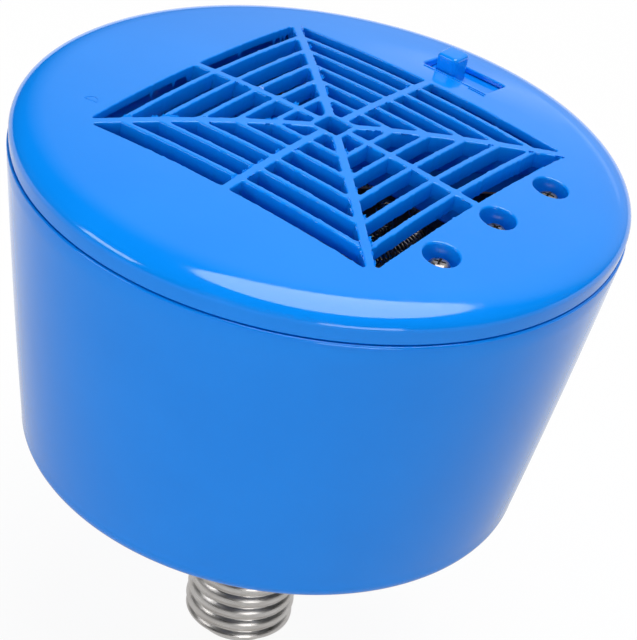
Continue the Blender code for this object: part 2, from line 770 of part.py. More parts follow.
def make_drum():
    drum = turned_piece("drum_housing", drum_profile(), BLUE_PLASTIC)
    outlines = [stadium_outline(VENT_INNER, VENT_OUTER, VENT_WIDTH, 360 * (index + 0.5) / VENT_COUNT)
                for index in range(VENT_COUNT)]
    vents = add_cutter("back_vents", flat_mesh("back_vents", outlines, BACK_HEIGHT - BACK_WALL,
                                               DRUM_FLOOR + BACK_WALL))
    length = CAP_BORE - NECK_BORE + 2 * LAP
    cut(drum, "lead_notch", [box(length, LEAD_NOTCH_WIDTH, CAP_SPIGOT_END - LEAD_NOTCH_HEIGHT,
                                 CAP_SPIGOT_END + LEAD_NOTCH_HEIGHT, -(NECK_BORE + CAP_BORE) / 2)])
    boolean(drum, vents, 'DIFFERENCE')


# The screw cap

def thread_reach(height, degrees):
    """Radius of the shell's knuckle thread, which fades out at both ends."""
    turns = (height - THREAD_LOW) / THREAD_PITCH - (degrees - THREAD_PHASE) / 360
    fade = min(height - THREAD_LOW, THREAD_HIGH - height) / THREAD_FADE
    wave = 0.5 + 0.5 * math.cos(2 * math.pi * turns)
    return THREAD_ROOT + (THREAD_RADIUS - THREAD_ROOT) * wave * min(max(fade, 0), 1)


def cap_mesh():
    """The shell's section spun round the axis, its outer wall pushed out into the thread."""
    rows = round((CAP_TOP - CAP_CONE_TOP) / THREAD_ROW)
    heights = [CAP_TOP + (CAP_CONE_TOP - CAP_TOP) * row / rows for row in range(rows + 1)]
    section = [(THREAD_ROOT, height) for height in heights]
    section += [(CAP_MOUTH + CAP_SHEET, CAP_MOUTH_HEIGHT), (CAP_MOUTH, CAP_MOUTH_HEIGHT),
                (CAP_BORE, CAP_CONE_TOP + LAP), (CAP_BORE, CAP_TOP)]
    shape = bmesh.new()
    corners = [shape.verts.new((radius, 0, height)) for radius, height in section]
    edges = [shape.edges.new((corners[index - 1], corners[index])) for index in range(len(corners))]
    bmesh.ops.spin(shape, geom=corners + edges, axis=(0, 0, 1), cent=(0, 0, 0),
                   steps=MIDDLE_SIDES, angle=2 * math.pi)
    bmesh.ops.remove_doubles(shape, verts=shape.verts, dist=0.000005)
    bmesh.ops.recalc_face_normals(shape, faces=shape.faces)
    for vertex in shape.verts:
        radius = math.hypot(vertex.co.x, vertex.co.y)
        if abs(radius - THREAD_ROOT) < STEP:
            degrees = math.degrees(math.atan2(vertex.co.y, vertex.co.x))
            reach = thread_reach(vertex.co.z, degrees) / radius
            vertex.co.x *= reach
            vertex.co.y *= reach
    mesh = bpy.data.meshes.new("cap_shell")
    shape.to_mesh(mesh)
    shape.free()
    return mesh


def make_cap():
    add_piece("cap_shell", cap_mesh(), NICKEL_PLATE)
    seat = CONTACT_RADIUS + GAP
    contact_back = CONTACT_DOME + GAP
    insulator = [(CAP_BORE - GAP, INSULATOR_TOP),
                 (CAP_BORE - GAP, CAP_CONE_TOP + LAP + GAP),
                 (CAP_MOUTH - GAP, CAP_MOUTH_HEIGHT + GAP),
                 (CAP_MOUTH - GAP, CAP_MOUTH_HEIGHT - CAP_SHEET),
                 (seat + GAP, INSULATOR_TIP),
                 (seat, INSULATOR_TIP),
                 (seat, contact_back),
                 (CONTACT_STEM + GAP, contact_back),
                 (CONTACT_STEM + GAP, INSULATOR_TOP)]
    turned_piece("cap_insulator", insulator, GREY_GLASS, sides=MIDDLE_SIDES)
    steps = 4
    dome = []
    for step in range(steps + 1):
        angle = math.pi / 2 * step / steps
        dome.append((CONTACT_RADIUS * math.cos(angle), CONTACT_DOME * (1 - math.sin(angle))))
    stem = [(0, INSULATOR_TOP), (CONTACT_STEM, INSULATOR_TOP), (CONTACT_STEM, CONTACT_DOME)]
    turned_piece("cap_contact", stem + dome, NICKEL_PLATE, closed=False, sides=SMALL_SIDES)


# Screws

def make_screw(name, x, y, seat, direction, radius, length, head_radius, head_height):
    """A pan-head screw: the head sits on the seat, and direction 1 puts it above."""
    points = [(0, head_height), (head_radius * 0.75, head_height), (head_radius, head_height * 0.55),
              (head_radius, 0), (radius, 0), (radius, radius - length), (0, -length)]
    if direction == -1:
        points = [(place, -height) for place, height in reversed(points)]
    screw = turned_piece(name, points, STEEL_SHEET, closed=False, sides=SMALL_SIDES)
    screw.location = (x, y, seat)


def make_lid_screws():
    for index, (x, y) in enumerate(screw_places()):
        make_screw(f"lid_screw_{index + 1}", x, y, COUNTERBORE_FLOOR + GAP, 1, SCREW_RADIUS,
                   SCREW_LENGTH, SCREW_HEAD_RADIUS, SCREW_HEAD_HEIGHT)


def make_bracket_screws():
    for index, degrees in enumerate(LUG_ANGLES):
        x, y = polar(LUG_CIRCLE, degrees)
        make_screw(f"bracket_screw_{index + 1}", x, y, BRACKET_BOTTOM - GAP, -1,
                   BRACKET_SCREW_RADIUS, BRACKET_SCREW_LENGTH, BRACKET_HEAD_RADIUS,
                   BRACKET_HEAD_HEIGHT)


# The duct under the lid

def cut_duct_collar(duct):
    """Fit the tube's top under the lid: below the plate, round the posts and the spokes."""
    over = dome_slab("over_collar", DUCT_FLANGE_RADIUS, lambda radius: HEIGHT + LID_WALL,
                     under_dome(LID_WALL + GAP))
    boolean(duct, over, 'DIFFERENCE')
    reliefs = [cylinder(POST_RADIUS + GAP, FLANGE_TOP - DUCT_FLANGE / 2, HEIGHT, x, y)
               for x, y in screw_places()]
    cut(duct, "post_reliefs", reliefs)
    star = flat_mesh("spoke_reliefs", [spoke_star(GAP, 4 * LAP)], SPOKE_BOTTOM - GAP, HEIGHT)
    boolean(duct, add_cutter("spoke_reliefs", star), 'DIFFERENCE')


def make_duct():
    outer = round_square_outline(DUCT_OUTER, DUCT_CORNER, DUCT_TWIST)
    inner = round_square_outline(DUCT_HALF, DUCT_CORNER - DUCT_WALL, DUCT_TWIST)
    lapped = round_square_outline(DUCT_OUTER - DUCT_WALL / 2, DUCT_CORNER - DUCT_WALL / 2, DUCT_TWIST)
    duct = add_piece("air_duct", flat_mesh("air_duct", [outer, inner], TUBE_BOTTOM, HEIGHT),
                     BLUE_PLASTIC)
    cut_duct_collar(duct)
    rim = circle_outline(DUCT_FLANGE_RADIUS, sides=LARGE_SIDES)
    flange = flat_mesh("duct_flange", [rim, lapped], FLANGE_BOTTOM, FLANGE_TOP)
    boolean(duct, add_cutter("duct_flange", flange), 'UNION')
    hole = circle_outline(FAN_RING_RADIUS + FAN_RING_WALL / 2, sides=LARGE_SIDES)
    floor = flat_mesh("duct_floor", [lapped, hole], FLOOR_TOP - DUCT_FLOOR, FLOOR_TOP)
    boolean(duct, add_cutter("duct_floor", floor), 'UNION')
    ring_outer = FAN_RING_RADIUS + FAN_RING_WALL
    ring_top = FLOOR_TOP - DUCT_FLOOR / 2
    ring = turned_cutter("fan_ring", [(ring_outer, ring_top), (ring_outer, RING_BOTTOM),
                                      (FAN_RING_RADIUS, RING_BOTTOM), (FAN_RING_RADIUS, ring_top)])
    boolean(duct, ring, 'UNION')
    make_duct_bosses(duct)
    cut_duct_holes(duct)


def make_duct_bosses(duct):
    """Lugs for the motor bracket and bosses for the lid's screws."""
    lugs = [cylinder(LUG_RADIUS, RING_BOTTOM - LUG_PROUD, RING_BOTTOM + LUG_HEIGHT,
                     *polar(LUG_CIRCLE, degrees)) for degrees in LUG_ANGLES]
    cut(duct, "duct_lugs", lugs, 'UNION')
    bosses = [cylinder(SCREW_RADIUS + GAP + SCREW_BOSS_WALL, FLANGE_BOTTOM - SCREW_BOSS_LENGTH,
                       FLANGE_TOP - DUCT_FLANGE / 2, x, y, TINY_SIDES) for x, y in screw_places()]
    cut(duct, "screw_bosses", bosses, 'UNION')


def cut_duct_holes(duct):
    holes = [cylinder(SCREW_RADIUS + GAP, FLANGE_BOTTOM - 2 * SCREW_BOSS_LENGTH,
                      FLANGE_TOP + DUCT_FLANGE, x, y, TINY_SIDES) for x, y in screw_places()]
    holes += [cylinder(STAKE_PIN_RADIUS + GAP, FLANGE_BOTTOM - DUCT_FLANGE, FLANGE_TOP + DUCT_FLANGE,
                       *polar(STAKE_CIRCLE, degrees), TINY_SIDES) for degrees in STAKE_ANGLES]
    holes += [cylinder(BRACKET_SCREW_RADIUS + GAP, RING_BOTTOM - LUG_HEIGHT,
                       RING_BOTTOM + BRACKET_SCREW_LENGTH, *polar(LUG_CIRCLE, degrees), TINY_SIDES)
              for degrees in LUG_ANGLES]
    cut(duct, "duct_screw_holes", holes)
    near = KNOB_Y - SWITCH_WIDTH / 2 - SWITCH_NOTCH / 2
    far = DUCT_FLANGE_RADIUS + DUCT_FLANGE
    cut(duct, "switch_notch", [box(SWITCH_LENGTH + 2 * SWITCH_NOTCH, far - near,
                                   FLANGE_BOTTOM - DUCT_FLANGE, FLANGE_TOP + DUCT_FLANGE,
                                   SLIT_X, (near + far) / 2)])
    length = 6 * DUCT_WALL
    cut(duct, "wire_holes", [wall_hole(LEAD_HOLE_RADIUS, *HEATER_HOLE, 90, length),
                             wall_hole(LEAD_HOLE_RADIUS, *RETURN_HOLE, 0, length)])


# The heater

def make_board(name, turned_by, notch_from_top):
    """An upright mica board with a half-lap notch and holes that the coil passes through."""
    half = (DUCT_OUTER - DUCT_CORNER) * math.sqrt(2) + DUCT_CORNER - DUCT_WALL - 2 * GAP
    notch = BOARD_THICKNESS / 2 + GAP
    low, middle, high = 0, BOARD_HEIGHT / 2, BOARD_HEIGHT
    if notch_from_top:
        outline = [(-half, low), (half, low), (half, high), (notch, high), (notch, middle - GAP),
                   (-notch, middle - GAP), (-notch, high), (-half, high)]
    else:
        outline = [(-half, low), (-notch, low), (-notch, middle + GAP), (notch, middle + GAP),
                   (notch, low), (half, low), (half, high), (-half, high)]
    outlines = [outline]
    for degrees in range(turned_by, 360 * COIL_TURNS + 1, 180):
        side = 1 if (degrees - turned_by) % 360 == 0 else -1
        outlines.append(circle_outline(COIL_RADIUS + GAP, side * coil_radius(degrees),
                                       COIL_HEIGHT - BOARD_BOTTOM, TINY_SIDES))
    upright = Matrix.Translation((0, 0, BOARD_BOTTOM))
    upright = upright @ Matrix.Rotation(math.radians(BOARD_ANGLE + turned_by), 4, 'Z')
    upright = upright @ Matrix.Rotation(math.pi / 2, 4, 'X')
    mesh = flat_mesh(name, outlines, -BOARD_THICKNESS / 2, BOARD_THICKNESS / 2, upright)
    add_piece(name, mesh, MICA_SHEET)


def make_heater():
    make_board("mica_board_long", 0, True)
    make_board("mica_board_cross", 90, False)
    last = 360 * COIL_TURNS + COIL_OVERRUN
    route = [coil_point(degrees) for degrees in range(-COIL_OVERRUN, last + 1, COIL_STEP)]
    tube("heating_element", route, COIL_RADIUS, HEATING_WIRE, roundness=2)


# The fan and its motor

def blade_mesh():
    """Cambered blades round the hub, each a surface that Solidify thickens."""
    root, tip = HUB_RADIUS - HUB_WALL, FAN_RING_RADIUS - FAN_TIP_GAP
    middle = HUB_BOTTOM + HUB_HEIGHT / 2
    joined = bmesh.new()
    for index in range(BLADE_COUNT):
        made = bmesh.ops.create_grid(joined, x_segments=3, y_segments=4, size=0.5)
        turn_by = Matrix.Rotation(2 * math.pi * index / BLADE_COUNT, 3, 'Z')
        for vertex in made['verts']:
            share, across = vertex.co.x + 0.5, vertex.co.y
            pitch = math.radians(BLADE_ROOT_PITCH + (BLADE_TIP_PITCH - BLADE_ROOT_PITCH) * share)
            camber = BLADE_CAMBER * (1 - 4 * across ** 2)
            along = BLADE_CHORD * across
            place = Vector((root + (tip - root) * share,
                            along * math.cos(pitch) - camber * math.sin(pitch),
                            along * math.sin(pitch) + camber * math.cos(pitch)))
            vertex.co = turn_by @ place + Vector((0, 0, middle))
    mesh = bpy.data.meshes.new("fan_blades")
    joined.to_mesh(mesh)
    joined.free()
    return mesh


def make_fan():
    bore = SHAFT_RADIUS + GAP
    inside = HUB_RADIUS - HUB_WALL
    ceiling = HUB_TOP - 2 * HUB_WALL
    points = [(0, HUB_TOP), (inside, HUB_TOP), (HUB_RADIUS, HUB_TOP - HUB_WALL),
              (HUB_RADIUS, HUB_BOTTOM), (inside, HUB_BOTTOM), (inside, ceiling),
              (HUB_BOSS_RADIUS, ceiling), (HUB_BOSS_RADIUS, HUB_BOTTOM), (bore, HUB_BOTTOM),
              (bore, HUB_TOP - HUB_WALL), (0, HUB_TOP - HUB_WALL)]
    fan = turned_piece("fan_impeller", points, BLACK_PLASTIC, closed=False, sides=MIDDLE_SIDES)
    blades = add_cutter("fan_blades", blade_mesh())
    thickness = blades.modifiers.new("thickness", 'SOLIDIFY')
    thickness.thickness = BLADE_THICKNESS
    thickness.offset = 0
    middle = HUB_RADIUS - HUB_WALL / 2
    core = turned_cutter("hub_core", [(0, HUB_TOP), (middle, HUB_TOP), (middle, HUB_BOTTOM),
                                      (0, HUB_BOTTOM)], closed=False, sides=MIDDLE_SIDES)
    boolean(blades, core, 'DIFFERENCE')
    boolean(fan, blades, 'UNION')
    top = HUB_TOP - HUB_WALL - GAP
    turned_piece("fan_shaft", [(0, top), (SHAFT_RADIUS, top), (SHAFT_RADIUS, MOTOR_BOTTOM + GAP),
                               (0, MOTOR_BOTTOM + GAP)],
                 STEEL_SHEET, closed=False, sides=TINY_SIDES)


def make_motor():
    bore = SHAFT_RADIUS + GAP
    nose_top = BRACKET_TOP + GAP
    points = [(MOTOR_NOSE_RADIUS, nose_top), (MOTOR_NOSE_RADIUS, MOTOR_TOP),
              (MOTOR_RADIUS, MOTOR_TOP), (MOTOR_RADIUS, MOTOR_BOTTOM),
              (bore, MOTOR_BOTTOM), (bore, nose_top)]
    turned_piece("motor_can", points, STEEL_SHEET, sides=MIDDLE_SIDES)
    edge = MOTOR_CAP_LENGTH / 2
    turned_piece("motor_end_cap", [
        (0, MOTOR_CAP_TOP), (MOTOR_RADIUS, MOTOR_CAP_TOP), (MOTOR_RADIUS, MOTOR_CAP_TOP - edge),
        (MOTOR_RADIUS - edge, MOTOR_CAP_BOTTOM), (0, MOTOR_CAP_BOTTOM)], BLACK_PLASTIC,
        closed=False, sides=MIDDLE_SIDES)


def make_bracket():
    """A flat three-armed bracket with a pad for the motor."""
    arms = [(degrees, BRACKET_ARM_WIDTH / 2, LUG_CIRCLE + LUG_RADIUS) for degrees in LUG_ANGLES]
    mesh = flat_mesh("motor_bracket", [star_outline(arms)], BRACKET_BOTTOM, BRACKET_TOP)
    bracket = add_piece("motor_bracket", mesh, STEEL_SHEET)
    cut(bracket, "bracket_pad", [cylinder(BRACKET_PAD_RADIUS, BRACKET_BOTTOM - STEP,
                                          BRACKET_TOP + STEP, sides=MIDDLE_SIDES)], 'UNION')
    low, high = BRACKET_BOTTOM - BRACKET_THICKNESS, BRACKET_TOP + BRACKET_THICKNESS
    holes = [cylinder(MOTOR_NOSE_RADIUS + GAP, low, high)]
    holes += [cylinder(BRACKET_SCREW_RADIUS + GAP, low, high, *polar(LUG_CIRCLE, degrees), TINY_SIDES)
              for degrees in LUG_ANGLES]
    cut(bracket, "bracket_holes", holes)


# The slide switch

def make_knob():
    """The knob and its stem, which slides along +X."""
    knob = add_piece("switch_knob", join_shapes("switch_knob", [
        box(KNOB_LENGTH, KNOB_WIDTH, KNOB_BOTTOM, KNOB_TOP)]), BLUE_PLASTIC)
    knob.location = (KNOB_X, KNOB_Y, 0)
    bevel(knob, KNOB_ROUND)
    cut(knob, "knob_stem", [box(STEM_LENGTH, STEM_WIDTH, SWITCH_TOP - STEM_DEPTH,
                                KNOB_BOTTOM + KNOB_ROUND, KNOB_X, KNOB_Y)], 'UNION')


def make_switch():
    make_knob()
    body = add_piece("switch_body", join_shapes("switch_body", [
        box(SWITCH_LENGTH, SWITCH_WIDTH, SWITCH_BOTTOM, SWITCH_TOP, SLIT_X, KNOB_Y)]), BLACK_PLASTIC)
    cut(body, "switch_channel", [box(SLIT_LENGTH, SLIT_WIDTH, SWITCH_BOTTOM + SWITCH_WALL,
                                     SWITCH_TOP + SWITCH_WALL, SLIT_X, KNOB_Y)])
    for index in range(3):
        x, y, height = terminal_end(index)
        add_piece(f"switch_terminal_{index + 1}", join_shapes("switch_terminal", [
            box(TERMINAL_THICKNESS, TERMINAL_WIDTH, TERMINAL_BOTTOM, TERMINAL_TOP, x, y)]),
            NICKEL_PLATE)


# Thermal protection

def make_protection():
    x, y = on_duct(CUTOUT_ALONG, DUCT_OUTER + GAP + CUTOUT_THICKNESS / 2)
    cutout = add_piece("thermal_cutout", join_shapes("thermal_cutout", [
        box(CUTOUT_WIDTH, CUTOUT_THICKNESS, CUTOUT_BOTTOM, CUTOUT_BOTTOM + CUTOUT_LENGTH)]),
        BLACK_PLASTIC)
    cutout.location = (x, y, 0)
    cutout.rotation_euler.z = math.radians(DUCT_TWIST)
    bevel(cutout, CUTOUT_THICKNESS / 5)
    x, y = on_duct(FUSE_ALONG, DUCT_OUTER + GAP + FUSE_RADIUS)
    shoulder = FUSE_RADIUS / 2
    fuse = turned_piece("thermal_fuse", [
        (0, FUSE_TOP), (shoulder, FUSE_TOP), (FUSE_RADIUS, FUSE_TOP - shoulder),
        (FUSE_RADIUS, FUSE_BOTTOM + shoulder), (shoulder, FUSE_BOTTOM), (0, FUSE_BOTTOM)],
        NICKEL_PLATE, closed=False, sides=TINY_SIDES)
    fuse.location = (x, y, 0)


# Internal leads: points chosen by hand between the ends that the pieces give

def make_leads():
    out = DUCT_OUTER + GAP + CUTOUT_THICKNESS / 2
    pin_end = CUTOUT_BOTTOM - GAP
    near_pin = (*on_duct(CUTOUT_ALONG - CUTOUT_PIN_SPACING / 2, out), pin_end)
    far_pin = (*on_duct(CUTOUT_ALONG + CUTOUT_PIN_SPACING / 2, out), pin_end)
    fuse_x, fuse_y = on_duct(FUSE_ALONG, DUCT_OUTER + GAP + FUSE_RADIUS)
    fuse_low = (fuse_x, fuse_y, FUSE_BOTTOM - GAP)
    fuse_high = (fuse_x, fuse_y, FUSE_TOP + GAP)
    floor_run = DRUM_FLOOR + 4 * LEAD_RADIUS
    over_boards = RETURN_HOLE[2]
    motor_end = MOTOR_CAP_BOTTOM - GAP
    under_motor = motor_end - 3 * LEAD_RADIUS
    straight = 5 * LEAD_RADIUS
    routes = {
        "lead_contact": [
            (0, 0, INSULATOR_TOP + GAP), (0, 0, 25 * MM), (0, 0, 42 * MM), (0, -1 * MM, 54 * MM),
            (-2 * MM, -7 * MM, floor_run), (-8 * MM, -22 * MM, floor_run),
            (-15 * MM, -40 * MM, floor_run), (-17 * MM, -48 * MM, 72 * MM),
            (-16 * MM, -48 * MM, 90 * MM), (-14 * MM, -44 * MM, 104 * MM), near_pin],
        "lead_shell": [
            (GAP - CAP_BORE + STEP, 0, 11.2 * MM), (-8.5 * MM, 0, 11.4 * MM), (-5.5 * MM, 0, 14 * MM),
            (-4.5 * MM, 0, 24 * MM), (-4.5 * MM, 0, 40 * MM), (-5 * MM, 1 * MM, 54 * MM),
            (-6 * MM, 3 * MM, 61 * MM), (-6 * MM, 4 * MM, under_motor), (-6 * MM, 4 * MM, motor_end)],
        "lead_cutout": [
            far_pin, (-8.5 * MM, -43 * MM, 106 * MM), (-4 * MM, -47 * MM, 101 * MM),
            (4 * MM, -49 * MM, 99 * MM), (12 * MM, -47 * MM, 101 * MM),
            (15.8 * MM, -42.5 * MM, 105 * MM), fuse_low],
        "lead_fuse": [
            fuse_high, (17 * MM, -43 * MM, 124 * MM), (22 * MM, -47.5 * MM, 121.5 * MM),
            (28 * MM, -47 * MM, 108 * MM), (37 * MM, -37 * MM, 99 * MM), (46 * MM, -22 * MM, 97 * MM),
            (50 * MM, 0, 97 * MM), (46 * MM, 22 * MM, 98 * MM), (36 * MM, 37 * MM, 99 * MM),
            (22 * MM, 48 * MM, 104 * MM), (10 * MM, 50.5 * MM, 112 * MM), terminal_end(1, straight),
            terminal_end(1)],
        "lead_motor": [
            terminal_end(2), terminal_end(2, straight), (11 * MM, 53.5 * MM, 114 * MM),
            (15 * MM, 54.5 * MM, 102 * MM), (17 * MM, 50 * MM, 86 * MM), (16 * MM, 38 * MM, 70 * MM),
            (11 * MM, 22 * MM, floor_run), (7 * MM, 9 * MM, floor_run), (6 * MM, 4 * MM, under_motor),
            (6 * MM, 4 * MM, motor_end)],
        "lead_heater": [
            terminal_end(0), (0, 48.5 * MM, 121.5 * MM), (1.5 * MM, 43.5 * MM, COIL_HEIGHT),
            HEATER_HOLE, (5.5 * MM, 33 * MM, COIL_HEIGHT), coil_end(1)],
        "lead_return": [
            coil_end(-1), (9.5 * MM, 0, 124 * MM), (6 * MM, -6 * MM, over_boards),
            (-10 * MM, -8 * MM, over_boards + LEAD_RADIUS), (-28 * MM, -8 * MM, over_boards),
            RETURN_HOLE, (-43 * MM, -8 * MM, over_boards - GAP), (-48 * MM, -8 * MM, 122 * MM),
            (-49 * MM, -8 * MM, 106 * MM),
            (-48 * MM, -8 * MM, 88 * MM), (-40 * MM, -7 * MM, 69 * MM),
            (-24 * MM, -5 * MM, floor_run), (-12 * MM, -4 * MM, floor_run),
            (-8 * MM, -3 * MM, under_motor), (-8 * MM, -3 * MM, motor_end)],
    }
    for name, points in routes.items():
        tube(name, smooth_route(points), LEAD_RADIUS, RED_SLEEVE)


# Build the lamp
make_lid()
make_drum()
make_cap()
make_lid_screws()
make_duct()
make_heater()
make_fan()
make_motor()
make_bracket()
make_bracket_screws()
make_switch()
make_protection()
make_leads()
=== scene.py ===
"""Looks of the screw-in reptile heat lamp: camera, light, materials and fine shapes.

Metres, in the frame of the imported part: +Z out of the domed lid, +X towards the row of
three screws, +Y towards the slide switch, origin at the tip of the cap's contact.
"""

import json
import math
import random

import bmesh
import bpy
from mathutils import Matrix, Vector, geometry, noise

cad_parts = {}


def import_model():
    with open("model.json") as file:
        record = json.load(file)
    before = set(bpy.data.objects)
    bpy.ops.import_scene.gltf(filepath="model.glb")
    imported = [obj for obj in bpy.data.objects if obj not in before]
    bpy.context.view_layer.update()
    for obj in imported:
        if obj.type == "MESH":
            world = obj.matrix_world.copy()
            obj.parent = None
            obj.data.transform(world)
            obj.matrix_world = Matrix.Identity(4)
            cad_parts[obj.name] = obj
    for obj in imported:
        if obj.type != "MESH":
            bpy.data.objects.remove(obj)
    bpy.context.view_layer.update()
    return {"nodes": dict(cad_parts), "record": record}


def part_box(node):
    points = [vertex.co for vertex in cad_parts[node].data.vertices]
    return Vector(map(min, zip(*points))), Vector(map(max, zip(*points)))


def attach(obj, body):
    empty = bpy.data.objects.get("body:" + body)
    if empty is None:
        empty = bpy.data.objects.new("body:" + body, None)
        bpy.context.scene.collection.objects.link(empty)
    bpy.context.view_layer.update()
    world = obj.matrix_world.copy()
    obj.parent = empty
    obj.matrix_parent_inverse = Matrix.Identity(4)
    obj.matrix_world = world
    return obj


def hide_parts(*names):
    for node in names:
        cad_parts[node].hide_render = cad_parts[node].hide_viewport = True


MM = 0.001

# Camera, from a pinhole fit to the photograph
CAMERA_PLACE = (0.2425, -0.4040, 0.3891)
CAMERA_RIGHT = (0.79540, 0.58354, 0.16378)
CAMERA_UP = (-0.43099, 0.35457, 0.82978)
CAMERA_BACK = (0.42614, -0.73059, 0.53353)
CAMERA_LENS = 138.04
SENSOR_WIDTH = 36

# Studio's wall, strip and floor: directions, edges and glow
WHITE = (1, 1, 1, 1)
WALL = (-0.150, 0.853, 0.500)
WALL_EDGE = (0.66, 0.95)
WALL_GLOW = (0.02, 0.58)
STRIP = (-0.283, 0.929, 0.240)
STRIP_EDGE = (0.97, 0.99)
STRIP_LOW = (0.215, 0.235)
STRIP_HIGH = (0.27, 0.30)
STRIP_GLOW = 0.4
BEHIND = (-0.504, 0.864, 0.0)
FLOOR_REACH = 6.0
FLOOR_EDGE = (-0.10, 0.22)
FLOOR_GLOW = (0.45, 1.0)
FLOOR_LIT = 0.93
FLOOR_GREY = (0.45, 0.45, 0.45, 1)
FLOOR_PALE = (0.9, 0.9, 0.9, 1)

# Lid
HEIGHT = 142.5 * MM
DOME_RADIUS = 431 * MM
LID_RADIUS = 68.45 * MM
LID_WALL = 2.4 * MM
RIM_HEIGHT = 133.33 * MM
RIM_SHOULDER = 4.6 * MM
RIM_DROP = 2.6 * MM
RIM_PARTS = 25
SEAM_HEIGHT = 130.23 * MM
SKIRT_DRAFT = 0.35 * MM
SKIRT_EDGE = 0.25 * MM
GROOVE_DEPTH = 3.0 * MM
GROOVE_TOP = SEAM_HEIGHT + GROOVE_DEPTH
SPIGOT_DEPTH = 5.6 * MM
SPIGOT_WALL = 2.2 * MM
FLAT_REACH = 60.5 * MM
TOP_SPACING = 2.5 * MM
UNDERSIDE_SPACING = 3 * MM
GAP = 0.3 * MM

# Grille
GRILLE_X = 1.7 * MM
GRILLE_Y = -1.1 * MM
GRILLE_HALF = 37.7 * MM
RIB_PITCH = 5.77 * MM
RIB_WIDTH = 1.25 * MM
RIB_DEPTH = 4.0 * MM
RIB_COUNT = 6
HUB_HALF = GRILLE_HALF - RIB_COUNT * RIB_PITCH
SIDE_SPOKE = 2.0 * MM
CORNER_SPOKE = 2.15 * MM
SPOKE_DEPTH = 9.0 * MM
SPOKE_STEP = 0.03 * MM
SPOKE_TAPER = 0.25 * MM
SPOKE_TOP = 1.0 * MM
SPOKE_CHAMFER = 0.2 * MM
SPOKE_EDGE = 0.3 * MM
SPOKE_OVERRUN = 0.5 * MM
EDGE_ROUND = 0.36 * MM
EDGE_SUPPORT = 0.08 * MM
SLOT_CORNER = 0.45 * MM
OUTLINE_SPACING = 0.7 * MM
BURR = 0.30 * MM

# Lid screws in their wells
WELL_X = 45.2 * MM
WELL_SPACING = 21.4 * MM
WELL_RADIUS = 3.95 * MM
WELL_DEPTH = 4.4 * MM
WELL_ROUND = 0.5 * MM
WELL_WALL = 0.9 * MM
WELL_FLOOR = 2 * MM
WELL_TAPER = 0.1 * MM
WELL_SHIFT = 0.1 * MM
SCREW_HOLE = 1.8 * MM
SCREW_SIDES = 48
SCREW_TURNS = (22, 64, 8)
HEAD_RADIUS = 2.45 * MM
HEAD_HEIGHT = 1.9 * MM
HEAD_FLAT = 0.35
HEAD_EDGE = 0.1 * MM
SHANK_RADIUS = 1.5 * MM
SHANK_LENGTH = 10.7 * MM
TIP_RADIUS = 0.3 * MM
TIP_LENGTH = 1.5 * MM

# Cross recess: length, width and height over the head, at its top and at its floor
CROSS_TOP = (3.3 * MM, 0.62 * MM, 0.4 * MM)
CROSS_FLOOR = (1.2 * MM, 0.4 * MM, -1.3 * MM)

# Slide switch
RECESS_X = 3.5 * MM
RECESS_Y = 49.5 * MM
RECESS_LENGTH = 17.6 * MM
RECESS_WIDTH = 8.5 * MM
RECESS_ROUND = 0.45 * MM
RECESS_CORNER = 0.7 * MM
POCKET_LENGTH = 34.6 * MM
POCKET_WIDTH = 10.3 * MM
POCKET_CORNER = 0.3 * MM
POCKET_TOP = 137.93 * MM
FRAME_WALL = 1.2 * MM
FRAME_LOW = 136.0 * MM
KNOB_X = 0.2 * MM
KNOB_Y = 48.6 * MM
KNOB_LENGTH = 5.6 * MM
KNOB_WIDTH = 6.0 * MM
KNOB_TOP = 143.9 * MM
KNOB_CORNER = 1.2 * MM
KNOB_EDGE = 0.85 * MM
SLIDER_X = -0.3 * MM
SLIDER_LENGTH = 26.4 * MM
SLIDER_WIDTH = 9.7 * MM
SLIDER_TOP = 137.63 * MM
SLIDER_LOW = 136.2 * MM
SLIDER_CORNER = 0.4 * MM
SLIDER_EDGE = 0.1 * MM
STEM_LENGTH = 3.0 * MM
STEM_WIDTH = 2.0 * MM
STEM_LOW = 132.6 * MM
STEM_CORNER = 0.2 * MM

# Fine lines by the switch, each from one X to another at a Y
LINES = ((-4.4 * MM, 12.9 * MM, 44.05 * MM), (8.6 * MM, 13.1 * MM, 43.1 * MM))
LINE_WIDTH = 0.34 * MM
LINE_HEIGHT = 0.22 * MM
LINE_CORNER = 0.12 * MM
BEAD_EDGE = 0.08 * MM
BEAD_FOOT = 0.15 * MM
BEAD_START = 0.1 * MM
BEAD_SPACING = 1 * MM

# Ejector mark beside the grille
MARK_X = -41.1 * MM
MARK_Y = -31.2 * MM
MARK_HALF = 1.6 * MM
MARK_PARTS = 14
MARK_LINE = 0.12 * MM
MARK_HEIGHT = 0.09 * MM
MARK_CORNER = 0.05 * MM
MARK_EDGE = 0.04 * MM

# Flash on the spokes: slivers per spoke, and ranges of their millimetres and leans
FLASH_SEED = 11
FLASH_COUNTS = (5, 7, 8, 18, 7, 12, 8, 32)
FLASH_LENGTH = (0.5, 2.2)
FLASH_HEIGHT = (0.25, 0.85)
FLASH_LEAN = (0.3, 1.6)
FLASH_LOW_SIDE = 0.7
FLASH_START = 0.12
FLASH_REACH = 0.85
FLAKE_PARTS = 5
FLAKE_FOOT = 0.25 * MM
FLAKE_HALF = 0.1 * MM

# Heating coil
COIL_RADIUS = 2.2 * MM
COIL_FIRST_RADIUS = 9.0 * MM
COIL_SPACING = 7.6 * MM
COIL_TURNS = 3
COIL_OVERRUN = 18
COIL_ANGLE = 47.8
COIL_WIRE = 0.27 * MM
COIL_PITCH = 1.15 * MM
COIL_PARTS = 9

